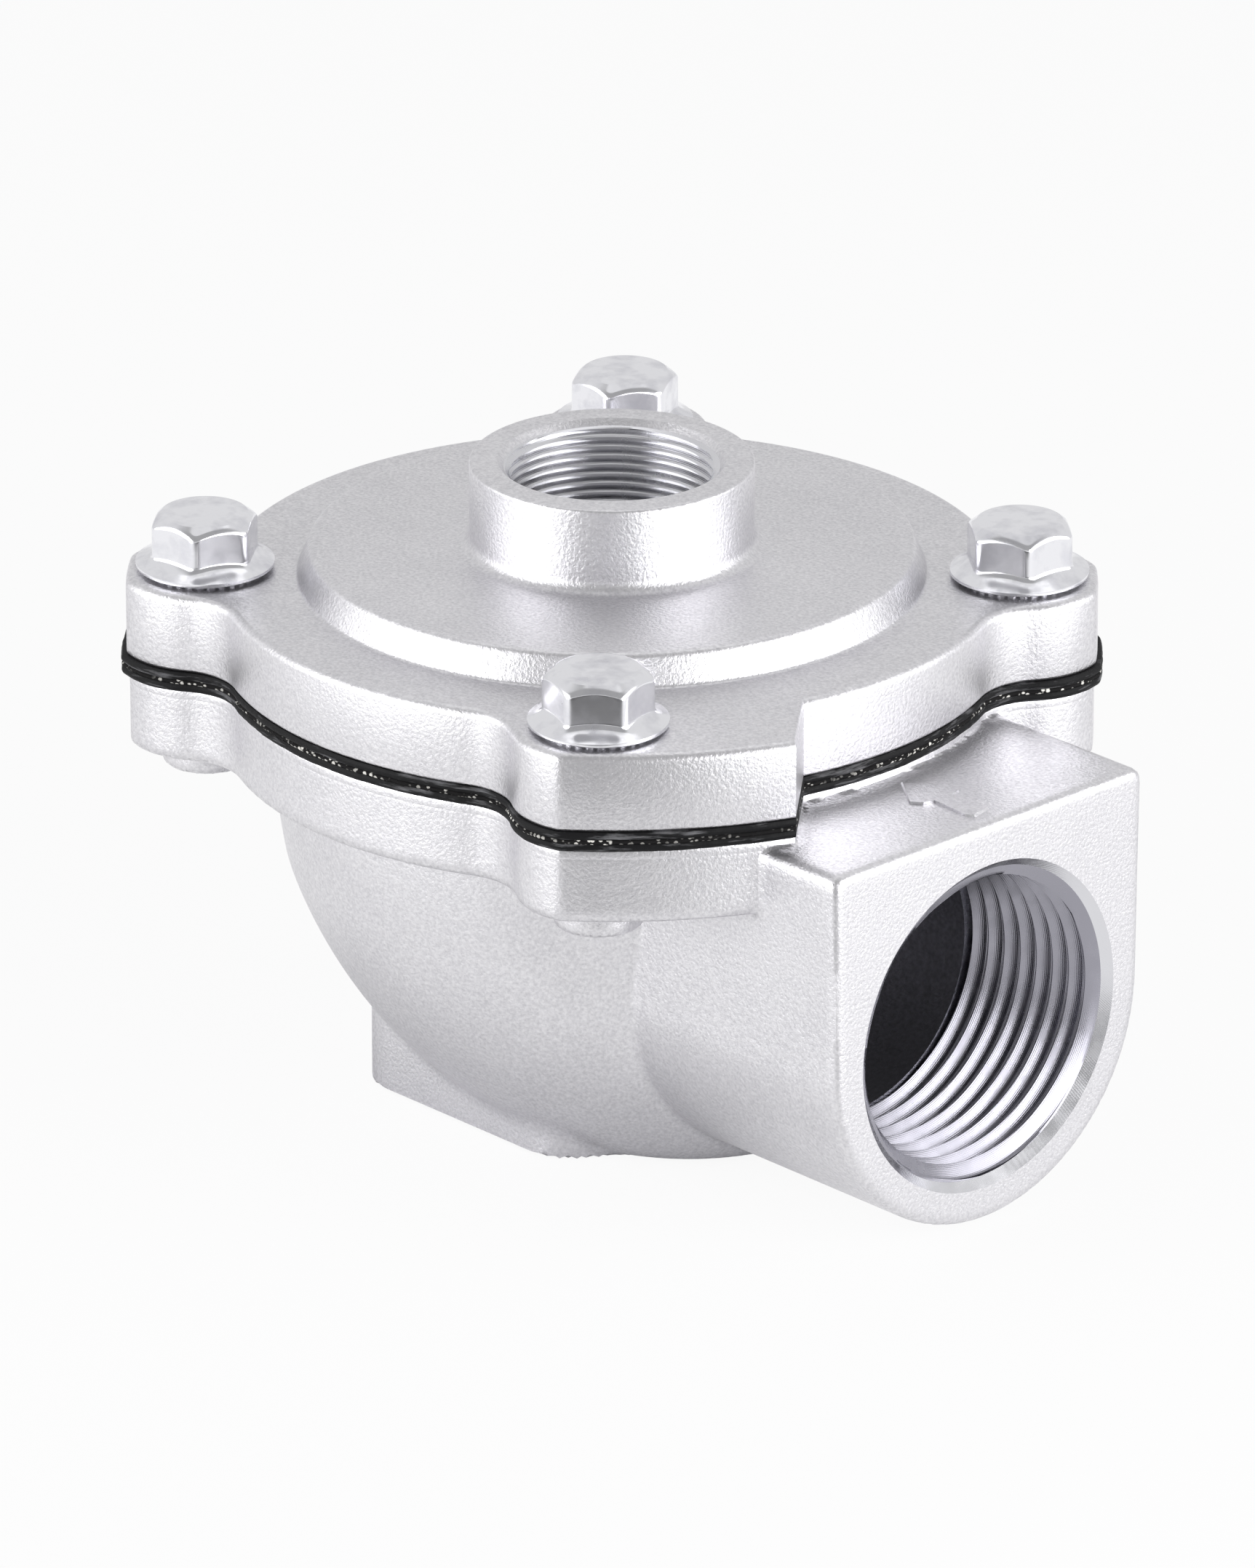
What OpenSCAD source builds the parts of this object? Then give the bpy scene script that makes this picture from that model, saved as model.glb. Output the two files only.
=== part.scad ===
// Right-angle diaphragm pulse valve with threaded inlet, outlet and pilot ports.
// Frame: the origin is the middle of the outlet's mouth, +Z runs up the axis of
// the diaphragm and +X points out of the inlet. Millimetres.

/* [Main ports] */
// Major diameter of the pipe thread in the inlet and outlet (G 1)
port_thread_d = 33.25; // [30:0.05:34]
// Depth of that thread
port_thread_len = 19; // [15:0.5:20]
// Depth of the thread's form, and so of the step to the passage behind it
port_thread_depth = 1.48; // [1.2:0.02:1.6]
// Depth of the chamfer at a port's mouth
port_chamfer = 0.9; // [0.5:0.1:1.5]
// How far the inlet face stands out past the flange
inlet_stub = 15.1; // [14:0.1:20]

/* [Pilot port] */
// Major diameter of the fine pilot thread (M22 x 1)
pilot_thread_d = 22; // [20:0.1:23]
// Depth of the pilot thread
pilot_thread_len = 9; // [6:0.5:9.5]
// Depth of the chamfer at the pilot's mouth
pilot_chamfer = 0.6; // [0.3:0.1:1]
// Width of the step at the thread's end, where the passage begins
pilot_step = 2.5; // [2:0.1:3.5]

/* [Bolting flange] */
// Width of the clamped rim, from the chamber to the flange's round edge
clamp_w = 9; // [8:0.1:10]
// How far the bolts' centres stand out past the flange's round edge
bolt_offset = 1.4; // [1:0.1:3]
// Diameter of each ear round its bolt
ear_d = 17.4; // [16.4:0.1:18]
// Distance from a bolt's centre to the arc that cuts its ear off
ear_tip = 8; // [7.6:0.1:8.6]
// Radius of the hollow blend between an ear and the round part
ear_blend_r = 7; // [4:0.5:9]
// Angle from the keyed ear's bolt to the sharp corner of its lug
lug_tip_angle = 23.5; // [20:0.5:26]
// Angle from the keyed ear's bolt to the root of its lug
lug_root_angle = 30.4; // [28:0.1:34]

/* [Body casting] */
// Thickness of the body's flange
body_flange_t = 8; // [7:0.1:9]
// How much the body's outline is smaller than the cover's
body_step = 0.3; // [0:0.1:0.6]
// Radius of the bowl under the flange
bowl_r = 34.5; // [34:0.1:36]
// How far the bowl leans towards the inlet where it curves under
bowl_lean = 7.2; // [6:0.1:8]
// How much further its lowest part reaches towards the inlet
bowl_toe = 6; // [4:0.5:7]
// Wall thickness of the bowl
bowl_wall = 3.5; // [3:0.1:4]
// Radius of the chamber's round side, seen in section
chamber_round_r = 36.5; // [35:0.5:38]
// Height of the chamber's floor above the outlet's mouth
chamber_floor_z = 12; // [11:0.5:14]
// Wall of the inlet block round the thread, at its sides and underside
block_wall = 4.4; // [4:0.1:5]
// Wall of the inlet block above the thread
block_top_wall = 5.35; // [5:0.05:7]
// How much the block's half width grows up to its flat top
block_draft = 0.4; // [0:0.1:0.8]
// Height of the block's underside above the outlet's mouth
block_lift = 0.5; // [0:0.1:2]
// How far the block's flat top lies below the flange face
block_drop = 0.9; // [0.5:0.1:2]
// Wall of the outlet's hexagon round the thread, at its four slanted flats
hex_wall = 6.4; // [5.4:0.1:7]
// Wall at the two flats that run along the inlet
hex_side_wall = 5; // [4.6:0.1:5.6]
// Height at which the hexagon ends inside the bowl
hex_h = 15; // [13:0.5:17]
// Diameter of the small bosses under the ears
ear_boss_d = 9.2; // [8:0.1:10]
// How far those bosses stand below the flange
ear_boss_drop = 3; // [1.5:0.1:4]

/* [Seat tube] */
// Bore of the seat
seat_d = 26; // [24:0.5:27]
// Width of the flat land that the diaphragm closes on
seat_land = 1.6; // [1.2:0.1:1.8]
// How far the seat lies below the flange face
seat_drop = 2.6; // [2:0.1:3.5]
// Wall of the tube round the outlet's thread
outlet_wall = 3; // [2.5:0.1:3.2]
// Wall of the tube round the seat's bore
seat_wall = 3.6; // [3:0.1:4]

/* [Cover casting] */
// Thickness of the cover's flange
cover_flange_t = 8.2; // [7.5:0.1:10]
// How far the raised disc's foot reaches past the chamber under it
disc_lap = 1; // [0.6:0.1:2]
// Height of the raised disc above the flange
disc_h = 3.3; // [3:0.1:4]
// How much the disc's radius shrinks up to its rim
disc_draft = 1; // [0.5:0.1:1.5]
// Radius of the disc's rounded rim
disc_edge_r = 0.8; // [0.4:0.1:1.2]
// Wall of the pilot boss round its thread
boss_wall = 3.5; // [3:0.1:4.5]
// Height of the pilot boss above the disc
boss_h = 8.9; // [8.6:0.1:10]
// Radius of the fillet at the boss's foot
boss_fillet_r = 1.4; // [0.8:0.1:2]
// Height of the chamber inside the cover
cavity_h = 8.2; // [7.8:0.1:8.4]
// How much the chamber's radius shrinks from its mouth to its ceiling
cavity_draft = 3; // [2.5:0.1:4]
// Depth of the counterbore that seats the spring
spring_seat_h = 1; // [0.6:0.1:1.4]

/* [Cover bolts] */
// Thread diameter of the flange bolts (M6)
bolt_d = 6; // [5:1:6]
// Length of the bolts under the head
bolt_len = 20; // [18:1:20]
// Width across the flats of the bolt heads
bolt_af = 10; // [9:0.5:11]
// Height of the bolt heads with their flange
bolt_head_h = 6; // [5.5:0.1:6.6]
// Diameter of the flange on the bolt heads
bolt_flange_d = 14.2; // [13:0.1:14.6]
// Clearance hole for a bolt through the cover and the diaphragm
bolt_hole_d = 6.6; // [6.4:0.1:7]

/* [Diaphragm] */
// Thickness of each rubber layer at the rim
rubber_t = 0.75; // [0.5:0.05:1]
// Thickness of the woven layer between them
fabric_t = 0.5; // [0.3:0.05:0.6]
// How far the diaphragm's edge stands out past the cover
rim_overhang = 0.6; // [0.2:0.1:1]
// Thickness of the flexing web
web_t = 1.4; // [1:0.1:1.8]
// Thickness of the stiff centre
centre_t = 2; // [1.5:0.1:2.5]

/* [Centre stack] */
// How far the diaphragm's centre stands out past the support plate
plate_inset = 0.4; // [0.2:0.1:0.8]
// Thickness of the support plate
plate_t = 1.5; // [1:0.1:2]
// Height of the ring on the plate that centres the spring
plate_ring_h = 0.8; // [0.4:0.1:1]
// Width of that ring
plate_ring_w = 0.7; // [0.5:0.1:0.8]
// Diameter of the retainer disc under the diaphragm
retainer_d = 22.4; // [18:0.1:23]
// Thickness of the retainer disc
retainer_t = 2; // [1.5:0.1:3]
// Thread diameter of the centre screw (M5)
screw_d = 5; // [4:1:6]
// Height of the centre screw's head
screw_head_h = 2.75; // [2.2:0.05:3.2]
// Diameter of the centre screw's head
screw_head_d = 9.5; // [8.5:0.5:10.5]
// Width across the flats of the screw's socket
socket_af = 3; // [2.5:0.5:4]
// Length of screw that shows past the nut
screw_tip = 1; // [0.5:0.1:3]
// Thickness of the plain washer
washer_t = 1; // [0.8:0.1:1.2]
// Outer diameter of the plain washer
washer_d = 10; // [9:0.5:12]
// Thickness of the spring lock washer
lock_washer_t = 1.3; // [1:0.1:1.6]
// Outer diameter of the spring lock washer
lock_washer_d = 9.2; // [8.4:0.1:10]
// Width across the flats of the lock nut
nut_af = 8; // [8:0.5:10]
// Height of the lock nut
nut_h = 4; // [3:0.1:5]
// Outer diameter of a bleed bush where it passes through the plate
bleed_d = 2.8; // [2.4:0.1:3]
// Diameter of a bleed bush's rolled collars
bleed_collar_d = 3.6; // [3.4:0.1:3.8]
// Thickness of a rolled collar
bleed_collar_t = 0.4; // [0.3:0.05:0.6]
// Bore of a bleed bush
bleed_bore_d = 1.2; // [0.8:0.1:1.6]

/* [Return spring] */
// Diameter of the spring's wire
wire_d = 1.2; // [1:0.1:1.4]
// Width of the ledge between the pilot passage and the spring's top coil
spring_ledge = 0.6; // [0.4:0.1:1]
// Number of turns
spring_turns = 3; // [2.5:0.25:3.5]

/* [Fits] */
// Radial gap between a thread drawn plain and its hole
thread_gap = 0.05; // [0.03:0.01:0.1]
// Radial gap round washers and plates on the centre screw
stack_gap = 0.1; // [0.05:0.05:0.3]
// Radial gap between the moving centre and the web
web_gap = 0.3; // [0.2:0.05:0.5]
// Radial gap between the spring's coils and what centres them
spring_gap = 0.4; // [0.2:0.1:0.5]
// Radial gap between the seat's land and the bleed bushes
bleed_seat_gap = 0.7; // [0.5:0.1:1]
// Radial gap between the bleed bushes and the ring that centres the spring
bleed_ring_gap = 0.6; // [0.3:0.1:0.9]
// Radial gap between the bleed bushes and the support plate's edge
bleed_edge_gap = 0.2; // [0.1:0.1:0.6]
// Gap left at each end of the spring
spring_end_gap = 0.05; // [0.02:0.01:0.1]

/* [Hidden] */
$fn = 96;

cast_colour = "#c4c7c8";
zinc_colour = "#d9dcdf";
steel_colour = "#aeb2b5";
brass_colour = "#c9a656";
rubber_colour = "#1d1d1f";
fabric_colour = "#6d6a60";

// Overlap that joins solids or carries a cut past a face
over = 0.5;
// How far a hollow blend cuts past the point where it would only touch
blend_bite = 0.02;

port_r = port_thread_d / 2;
port_mouth_r = port_r + port_chamfer;
passage_r = port_r - port_thread_depth;
pilot_r = pilot_thread_d / 2;
pilot_mouth_r = pilot_r + pilot_chamfer;
pilot_passage_r = pilot_r - pilot_step;
boss_r = pilot_r + boss_wall;
block_r = port_r + block_wall;
inlet_z = block_lift + block_r;
block_top_z = inlet_z + port_r + block_top_wall;
flange_z = block_top_z + block_drop;
hex_af = port_thread_d + 2 * hex_wall;

chamber_r = bowl_r - bowl_wall;
flange_r = chamber_r + clamp_w;
disc_r = chamber_r + disc_lap;
inlet_reach = flange_r + inlet_stub;
bolt_reach = flange_r + bolt_offset;
tip_r = bolt_reach + ear_tip;
// Angle at which each head came to rest when its bolt was tightened
bolt_turns = [40, 43, 22, 29];
key_angle = -45;
// Power of the curve that the bowl's radius follows down to its underside
bowl_power = 0.29;
// Share of the way up to the flange at which the bowl starts to lean
bowl_bend = 0.71;
// How gently the lean starts, and the power by which the toe grows downwards
bowl_ease = 0.1;
toe_power = 6;
// Heights of the bowl's slices, as shares of the way up to the flange
bowl_levels = [0.022, 0.045, 0.082, 0.14, 0.22, 0.33, 0.47, 0.63, 0.82];
bowl_facets = 48;
slice_t = 0.01;
rim_t = 2 * rubber_t + fabric_t;
cover_z = flange_z + rim_t;
cover_top_z = cover_z + cover_flange_t;
disc_top_z = cover_top_z + disc_h;
boss_top_z = disc_top_z + boss_h;
pilot_floor_z = boss_top_z - pilot_thread_len;
ceiling_z = cover_z + cavity_h;
body_under_z = flange_z - body_flange_t;

seat_z = flange_z - seat_drop;
outlet_tube_r = port_r + outlet_wall;
seat_tube_r = seat_d / 2 + seat_wall;
seat_land_r = seat_d / 2 + seat_land;
// Height over which the tube changes from the outlet's size to the seat's
tube_neck_h = 4;
// Height of the cone at the seat's outer edge
seat_cone_h = 2.8;

centre_top_z = seat_z + centre_t;
plate_top_z = centre_top_z + plate_t;
washer_top_z = plate_top_z + washer_t;
retainer_z = seat_z - retainer_t;
lock_washer_z = retainer_z - lock_washer_t;
nut_z = lock_washer_z - nut_h;
screw_hole_r = screw_d / 2 + stack_gap;
bleed_reach = seat_land_r + bleed_seat_gap + bleed_collar_d / 2;
plate_r = bleed_reach + bleed_collar_d / 2 + bleed_edge_gap;
centre_r = plate_r + plate_inset;
web_inner_r = centre_r + web_gap;
web_outer_z = flange_z + rim_t / 2;
web_inner_z = seat_z + centre_t / 2;

spring_bottom_z = plate_top_z + spring_end_gap + wire_d / 2;
spring_top_z = ceiling_z + spring_seat_h - spring_end_gap - wire_d / 2;
// Part of a turn that lies flat at each end of the spring
spring_flat = 0.4;
plate_ring_r = bleed_reach - bleed_collar_d / 2 - bleed_ring_gap - plate_ring_w;
// Mean radius of the coil that rests on the plate and of the one in the cover
spring_bottom_r = plate_ring_r - spring_gap - wire_d / 2;
spring_top_r = pilot_passage_r + spring_ledge + wire_d / 2;

function polar(r, a) = [r * cos(a), r * sin(a)];

// Angle at the axis between an ear's bolt and the centre of its hollow blend
function blend_angle(round_r, ear_r, blend_r) =
    let (a = round_r + blend_r, b = ear_r + blend_r)
    acos((a * a + bolt_reach * bolt_reach - b * b) / (2 * a * bolt_reach));

module at_bolt(i) {
    rotate(45 + 90 * i) translate([bolt_reach, 0]) children();
}

// An ear along +X, with a hollow blend into the round part on either side
module ear(round_r, ear_r, blend_r) {
    angle = blend_angle(round_r, ear_r, blend_r);
    hollows = [for (side = [-1, 1]) polar(round_r + blend_r, side * angle)];
    translate([bolt_reach, 0]) circle(r = ear_r);
    difference() {
        polygon([[0, 0], hollows[0], [bolt_reach, 0], hollows[1]]);
        for (hollow = hollows) translate(hollow) circle(r = blend_r + blend_bite);
    }
}

// Keyed lug: a sector of the tip circle that ends in a straight, sharp flank
module lug(round_r, outer_r) {
    root = polar(round_r, key_angle + lug_root_angle);
    tip = polar(outer_r, key_angle + lug_tip_angle);
    polygon([[0, 0], polar(2 * outer_r, key_angle), root + 2 * (tip - root),
        root - (tip - root) / 2]);
}

// Plan of the flanges and the diaphragm; grow moves the whole outline outwards
module flange_outline(grow = 0) {
    round_r = flange_r + grow;
    outer_r = tip_r + grow;
    intersection() {
        circle(r = outer_r);
        union() {
            circle(r = round_r);
            lug(round_r, outer_r);
            for (i = [0 : 3]) rotate(45 + 90 * i)
                ear(round_r, ear_d / 2 + grow, ear_blend_r - grow);
        }
    }
}

// Section of the round chamber, from its floor up through the flange
module chamber_section() {
    intersection() {
        translate([chamber_r - chamber_round_r, body_under_z]) circle(r = chamber_round_r);
        translate([0, chamber_floor_z]) square([chamber_r, body_under_z - chamber_floor_z]);
    }
    translate([0, body_under_z]) square([chamber_r, body_flange_t + over]);
}

module inlet_block() {
    start = block_r / 3;
    rotate([90, 0, 90]) translate([0, 0, start]) linear_extrude(inlet_reach - start) union() {
        translate([0, inlet_z]) circle(r = block_r);
        polygon([[-block_r, inlet_z], [block_r, inlet_z],
            [block_r + block_draft, block_top_z], [-block_r - block_draft, block_top_z]]);
    }
}

// How far the bowl's centre lies towards the inlet at height z
function bowl_shift(z) =
    let (s = max(0, 1 - z / (bowl_bend * body_under_z)))
    bowl_lean * s * s / (s + bowl_ease) + bowl_toe * pow(s, toe_power);

// Radius of the bowl at height z
function bowl_radius(z) =
    let (t = (body_under_z - z) / (body_under_z - block_lift))
    bowl_r * pow(1 - t * t, bowl_power);

// The bowl: round at every height, and leaning towards the inlet as it narrows
module bowl() {
    hull() {
        for (share = bowl_levels) let (z = share * body_under_z)
            translate([bowl_shift(z), 0, z])
                cylinder(h = slice_t, r = bowl_radius(z), $fn = bowl_facets);
        translate([0, 0, body_under_z]) cylinder(h = over, r = bowl_r, $fn = bowl_facets);
    }
}

module body_outside() {
    translate([0, 0, body_under_z]) linear_extrude(body_flange_t) flange_outline(-body_step);
    bowl();
    inlet_block();
    intersection() {
        cylinder(h = hex_h, d = hex_af / cos(30), $fn = 6);
        cube([2 * hex_af, port_thread_d + 2 * hex_side_wall, 2 * hex_h], center = true);
    }
    for (i = [0 : 3]) at_bolt(i)
        translate([0, 0, body_under_z - ear_boss_drop])
            cylinder(h = ear_boss_drop + over, d = ear_boss_d);
}

// The tube that leads from the seat down to the outlet, as a plain solid
module tube_solid() {
    neck_z = port_thread_len + outlet_wall / 2;
    rotate_extrude() polygon([[0, -over], [outlet_tube_r, -over], [outlet_tube_r, neck_z],
        [seat_tube_r, neck_z + tube_neck_h], [seat_tube_r, seat_z - seat_cone_h],
        [seat_land_r, seat_z], [0, seat_z]]);
}

// Bore of the outlet, with its chamfer, the thread's room and the way to the seat
module outlet_bore() {
    neck_z = port_thread_len + port_r - seat_d / 2;
    rotate_extrude() polygon([[0, -over], [port_mouth_r + over, -over],
        [port_r, port_chamfer], [port_r, port_thread_len],
        [seat_d / 2, neck_z], [seat_d / 2, seat_z + over], [0, seat_z + over]]);
}

// Bore of the inlet thread with its chamfer, along the inlet's axis
module inlet_bore() {
    translate([inlet_reach, 0, inlet_z]) rotate([0, -90, 0])
        rotate_extrude() polygon([[0, -over], [port_mouth_r + over, -over],
            [port_r, port_chamfer], [port_r, port_thread_len], [0, port_thread_len]]);
}

module chamber_space() {
    difference() {
        union() {
            rotate_extrude() chamber_section();
            translate([0, 0, inlet_z]) rotate([0, 90, 0])
                cylinder(h = inlet_reach - port_thread_len + over, r = passage_r);
        }
        tube_solid();
    }
}

module valve_body() {
    color(cast_colour) difference() {
        body_outside();
        chamber_space();
        outlet_bore();
        inlet_bore();
        for (i = [0 : 3]) at_bolt(i)
            translate([0, 0, body_under_z - ear_boss_drop - over])
                cylinder(h = body_flange_t + ear_boss_drop + 2 * over,
                    r = bolt_d / 2 + thread_gap);
    }
}

// Section of the raised disc and the pilot boss, from the cover's top face up
module cover_top_section() {
    rim_r = disc_r - disc_draft;
    translate([0, -over]) square([disc_r, over]);
    polygon([[0, 0], [disc_r, 0], [rim_r, disc_h - disc_edge_r],
        [rim_r - disc_edge_r, disc_h], [0, disc_h]]);
    translate([rim_r - disc_edge_r, disc_h - disc_edge_r]) circle(r = disc_edge_r);
    translate([0, disc_h - over]) square([boss_r, boss_h + over]);
    difference() {
        translate([0, disc_h]) square([boss_r + boss_fillet_r, boss_fillet_r]);
        translate([boss_r + boss_fillet_r, disc_h + boss_fillet_r]) circle(r = boss_fillet_r);
    }
}

// Room above the diaphragm, the spring's seat and the pilot port
module cover_inside() {
    seat_r = spring_top_r + wire_d / 2 + spring_gap;
    rotate_extrude() polygon([[0, cover_z - over], [chamber_r, cover_z - over],
        [chamber_r, cover_z + rim_t], [chamber_r - cavity_draft, ceiling_z],
        [seat_r, ceiling_z], [seat_r, ceiling_z + spring_seat_h],
        [pilot_passage_r, ceiling_z + spring_seat_h],
        [pilot_passage_r, pilot_floor_z], [pilot_r, pilot_floor_z],
        [pilot_r, boss_top_z - pilot_chamfer],
        [pilot_mouth_r + over, boss_top_z + over], [0, boss_top_z + over]]);
}

module cover() {
    color(cast_colour) difference() {
        union() {
            translate([0, 0, cover_z]) linear_extrude(cover_flange_t) flange_outline();
            translate([0, 0, cover_top_z]) rotate_extrude() cover_top_section();
        }
        cover_inside();
        for (i = [0 : 3]) at_bolt(i)
            translate([0, 0, cover_z - over])
                cylinder(h = cover_flange_t + 2 * over, d = bolt_hole_d);
    }
}

// A hexagon with its top corners turned off, standing on z = 0
module chamfered_hex(af, h) {
    corner_r = af / 2 / cos(30);
    top_r = 0.43 * af;
    bevel = 0.7 * (corner_r - top_r);
    intersection() {
        cylinder(h = h, r = corner_r, $fn = 6);
        rotate_extrude() polygon([[0, 0], [corner_r, 0], [corner_r, h - bevel],
            [top_r, h], [0, h]]);
    }
}

module cover_bolt(i) {
    // Height of the flange's rim and of the cone that runs up into the hexagon
    rim_h = 0.8;
    cone_h = 1.2;
    cone_top_r = 0.4 * bolt_af;
    tip = bolt_d / 10;
    color(zinc_colour) at_bolt(i) translate([0, 0, cover_top_z]) union() {
        rotate(bolt_turns[i]) chamfered_hex(bolt_af, bolt_head_h);
        rotate_extrude() polygon([[0, tip - bolt_len], [0, -bolt_len],
            [bolt_d / 2 - tip, -bolt_len], [bolt_d / 2, tip - bolt_len],
            [bolt_d / 2, 0], [bolt_flange_d / 2, 0], [bolt_flange_d / 2, rim_h],
            [cone_top_r, rim_h + cone_h], [0, rim_h + cone_h]]);
    }
}

// One clamped layer of the diaphragm's rim
module rim_layer(z, t, grow) {
    difference() {
        translate([0, 0, z]) linear_extrude(t) flange_outline(grow);
        translate([0, 0, z - over]) cylinder(h = t + 2 * over, r = chamber_r);
        for (i = [0 : 3]) at_bolt(i)
            translate([0, 0, z - over]) cylinder(h = t + 2 * over, d = bolt_hole_d);
    }
}

module diaphragm_rim_upper() {
    color(rubber_colour) rim_layer(flange_z + rubber_t + fabric_t, rubber_t, rim_overhang);
}

module diaphragm_fabric() {
    // The cut edge of the cloth lies a little behind the rubber
    color(fabric_colour) rim_layer(flange_z + rubber_t, fabric_t, rim_overhang - fabric_t / 3);
}

module diaphragm_rim_lower() {
    color(rubber_colour) rim_layer(flange_z, rubber_t, rim_overhang);
}

// Height of the web's middle at radius r: a smooth wave from the centre to the rim
function web_z(r) = web_inner_z + (web_outer_z - web_inner_z)
    * (1 - cos(180 * (r - web_inner_r) / (chamber_r - web_inner_r))) / 2;

module diaphragm_web() {
    steps = 12;
    radii = [for (i = [0 : steps]) web_inner_r + (chamber_r - web_inner_r) * i / steps];
    color(rubber_colour) rotate_extrude() polygon(concat(
        [for (r = radii) [r, web_z(r) - web_t / 2]],
        [for (i = [steps : -1 : 0]) [radii[i], web_z(radii[i]) + web_t / 2]]));
}

// Holes for the two bleed bushes
module bleed_holes() {
    for (side = [-1, 1])
        translate([0, side * bleed_reach, seat_z - over])
            cylinder(h = centre_t + plate_t + 2 * over, d = bleed_d);
}

module diaphragm_centre() {
    color(rubber_colour) difference() {
        translate([0, 0, seat_z]) cylinder(h = centre_t, r = centre_r);
        translate([0, 0, seat_z - over]) cylinder(h = centre_t + 2 * over, r = screw_hole_r);
        bleed_holes();
    }
}

module support_plate() {
    color(steel_colour) difference() {
        union() {
            translate([0, 0, centre_top_z]) cylinder(h = plate_t, r = plate_r);
            translate([0, 0, plate_top_z - over])
                cylinder(h = plate_ring_h + over, r = plate_ring_r + plate_ring_w);
        }
        translate([0, 0, plate_top_z]) cylinder(h = plate_ring_h + over, r = plate_ring_r);
        translate([0, 0, centre_top_z - over])
            cylinder(h = plate_t + 2 * over, r = screw_hole_r);
        bleed_holes();
    }
}

module retainer_disc() {
    bevel = retainer_t / 2;
    color(steel_colour) difference() {
        rotate_extrude() polygon([[0, retainer_z], [retainer_d / 2 - bevel, retainer_z],
            [retainer_d / 2, retainer_z + bevel], [retainer_d / 2, seat_z], [0, seat_z]]);
        translate([0, 0, retainer_z - over])
            cylinder(h = retainer_t + 2 * over, r = screw_hole_r);
    }
}

module centre_screw() {
    low_z = nut_z - screw_tip;
    tip = screw_d / 10;
    head_top_z = washer_top_z + screw_head_h;
    crown_r = socket_af;
    color(zinc_colour) difference() {
        rotate_extrude() polygon([[0, low_z], [screw_d / 2 - tip, low_z],
            [screw_d / 2, low_z + tip], [screw_d / 2, washer_top_z],
            [screw_head_d / 2, washer_top_z], [screw_head_d / 2, washer_top_z + screw_head_h / 4],
            [(crown_r + screw_head_d / 2) / 2, washer_top_z + screw_head_h * 3 / 4],
            [crown_r, head_top_z], [0, head_top_z]]);
        translate([0, 0, head_top_z - screw_head_h * 0.6])
            cylinder(h = screw_head_h, d = socket_af / cos(30), $fn = 6);
    }
}

module ring(z, t, outer_d, inner_r) {
    difference() {
        translate([0, 0, z]) cylinder(h = t, d = outer_d);
        translate([0, 0, z - over]) cylinder(h = t + 2 * over, r = inner_r);
    }
}

module plain_washer() {
    color(zinc_colour) ring(plate_top_z, washer_t, washer_d, screw_hole_r);
}

module lock_washer() {
    // Width of the slanted slit
    slit = 0.8;
    color(steel_colour) difference() {
        ring(lock_washer_z, lock_washer_t, lock_washer_d, screw_hole_r);
        translate([lock_washer_d / 2, 0, lock_washer_z + lock_washer_t / 2])
            rotate([20, 0, 0]) cube([lock_washer_d, slit, 4 * lock_washer_t], center = true);
    }
}

module lock_nut() {
    color(zinc_colour) difference() {
        translate([0, 0, nut_z + nut_h]) mirror([0, 0, 1]) chamfered_hex(nut_af, nut_h);
        translate([0, 0, nut_z - over])
            cylinder(h = nut_h + 2 * over, r = screw_d / 2 + thread_gap);
    }
}

module bleed_bush(side) {
    low_z = seat_z - bleed_collar_t;
    high_z = plate_top_z + bleed_collar_t;
    shank_r = bleed_d / 2 - thread_gap;
    bore_r = bleed_bore_d / 2;
    color(brass_colour) translate([0, side * bleed_reach, 0])
        rotate_extrude() polygon([[bore_r, low_z], [bleed_collar_d / 2, low_z],
            [bleed_collar_d / 2, seat_z], [shank_r, seat_z], [shank_r, plate_top_z],
            [bleed_collar_d / 2, plate_top_z], [bleed_collar_d / 2, high_z], [bore_r, high_z]]);
}

// Share of the spring's height that is reached after some turns
function spring_rise(turn) =
    min(1, max(0, (turn - spring_flat) / (spring_turns - 2 * spring_flat)));

module return_spring() {
    sides = 10;
    steps_per_turn = 24;
    steps = ceil(spring_turns * steps_per_turn);
    rings = [for (i = [0 : steps]) let (turn = spring_turns * i / steps,
        mean_r = spring_bottom_r + (spring_top_r - spring_bottom_r) * turn / spring_turns,
        mid_z = spring_bottom_z + (spring_top_z - spring_bottom_z) * spring_rise(turn))
        [for (k = [0 : sides - 1]) let (a = 360 * k / sides + 90,
            r = mean_r + wire_d / 2 * cos(a))
            [r * cos(360 * turn), r * sin(360 * turn), mid_z + wire_d / 2 * sin(a)]]];
    last = steps * sides;
    color(steel_colour) polyhedron(
        points = [for (ring_points = rings) each ring_points],
        faces = concat(
            [[for (k = [0 : sides - 1]) k]],
            [for (i = [0 : steps - 1], k = [0 : sides - 1])
                [i * sides + k, (i + 1) * sides + k,
                    (i + 1) * sides + (k + 1) % sides, i * sides + (k + 1) % sides]],
            [[for (k = [sides - 1 : -1 : 0]) last + k]]));
}

valve_body();
cover();
cover_bolt(0);  // cover_bolt_1
cover_bolt(1);  // cover_bolt_2
cover_bolt(2);  // cover_bolt_3
cover_bolt(3);  // cover_bolt_4
diaphragm_rim_upper();
diaphragm_fabric();
diaphragm_rim_lower();
diaphragm_web();
diaphragm_centre();
support_plate();
retainer_disc();
centre_screw();
plain_washer();
lock_washer();
lock_nut();
bleed_bush(-1);  // bleed_bush_1
bleed_bush(1);  // bleed_bush_2
return_spring();
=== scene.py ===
"""Looks of a right-angle diaphragm pulse valve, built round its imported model.

Sizes are millimetres until a mesh is made, and the mesh is in metres. Each
sub-assembly is a class that holds its sizes and builds its own pieces.
"""

from __future__ import annotations

import logging
import math
from dataclasses import dataclass
from enum import Enum
from typing import Callable, Sequence

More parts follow.
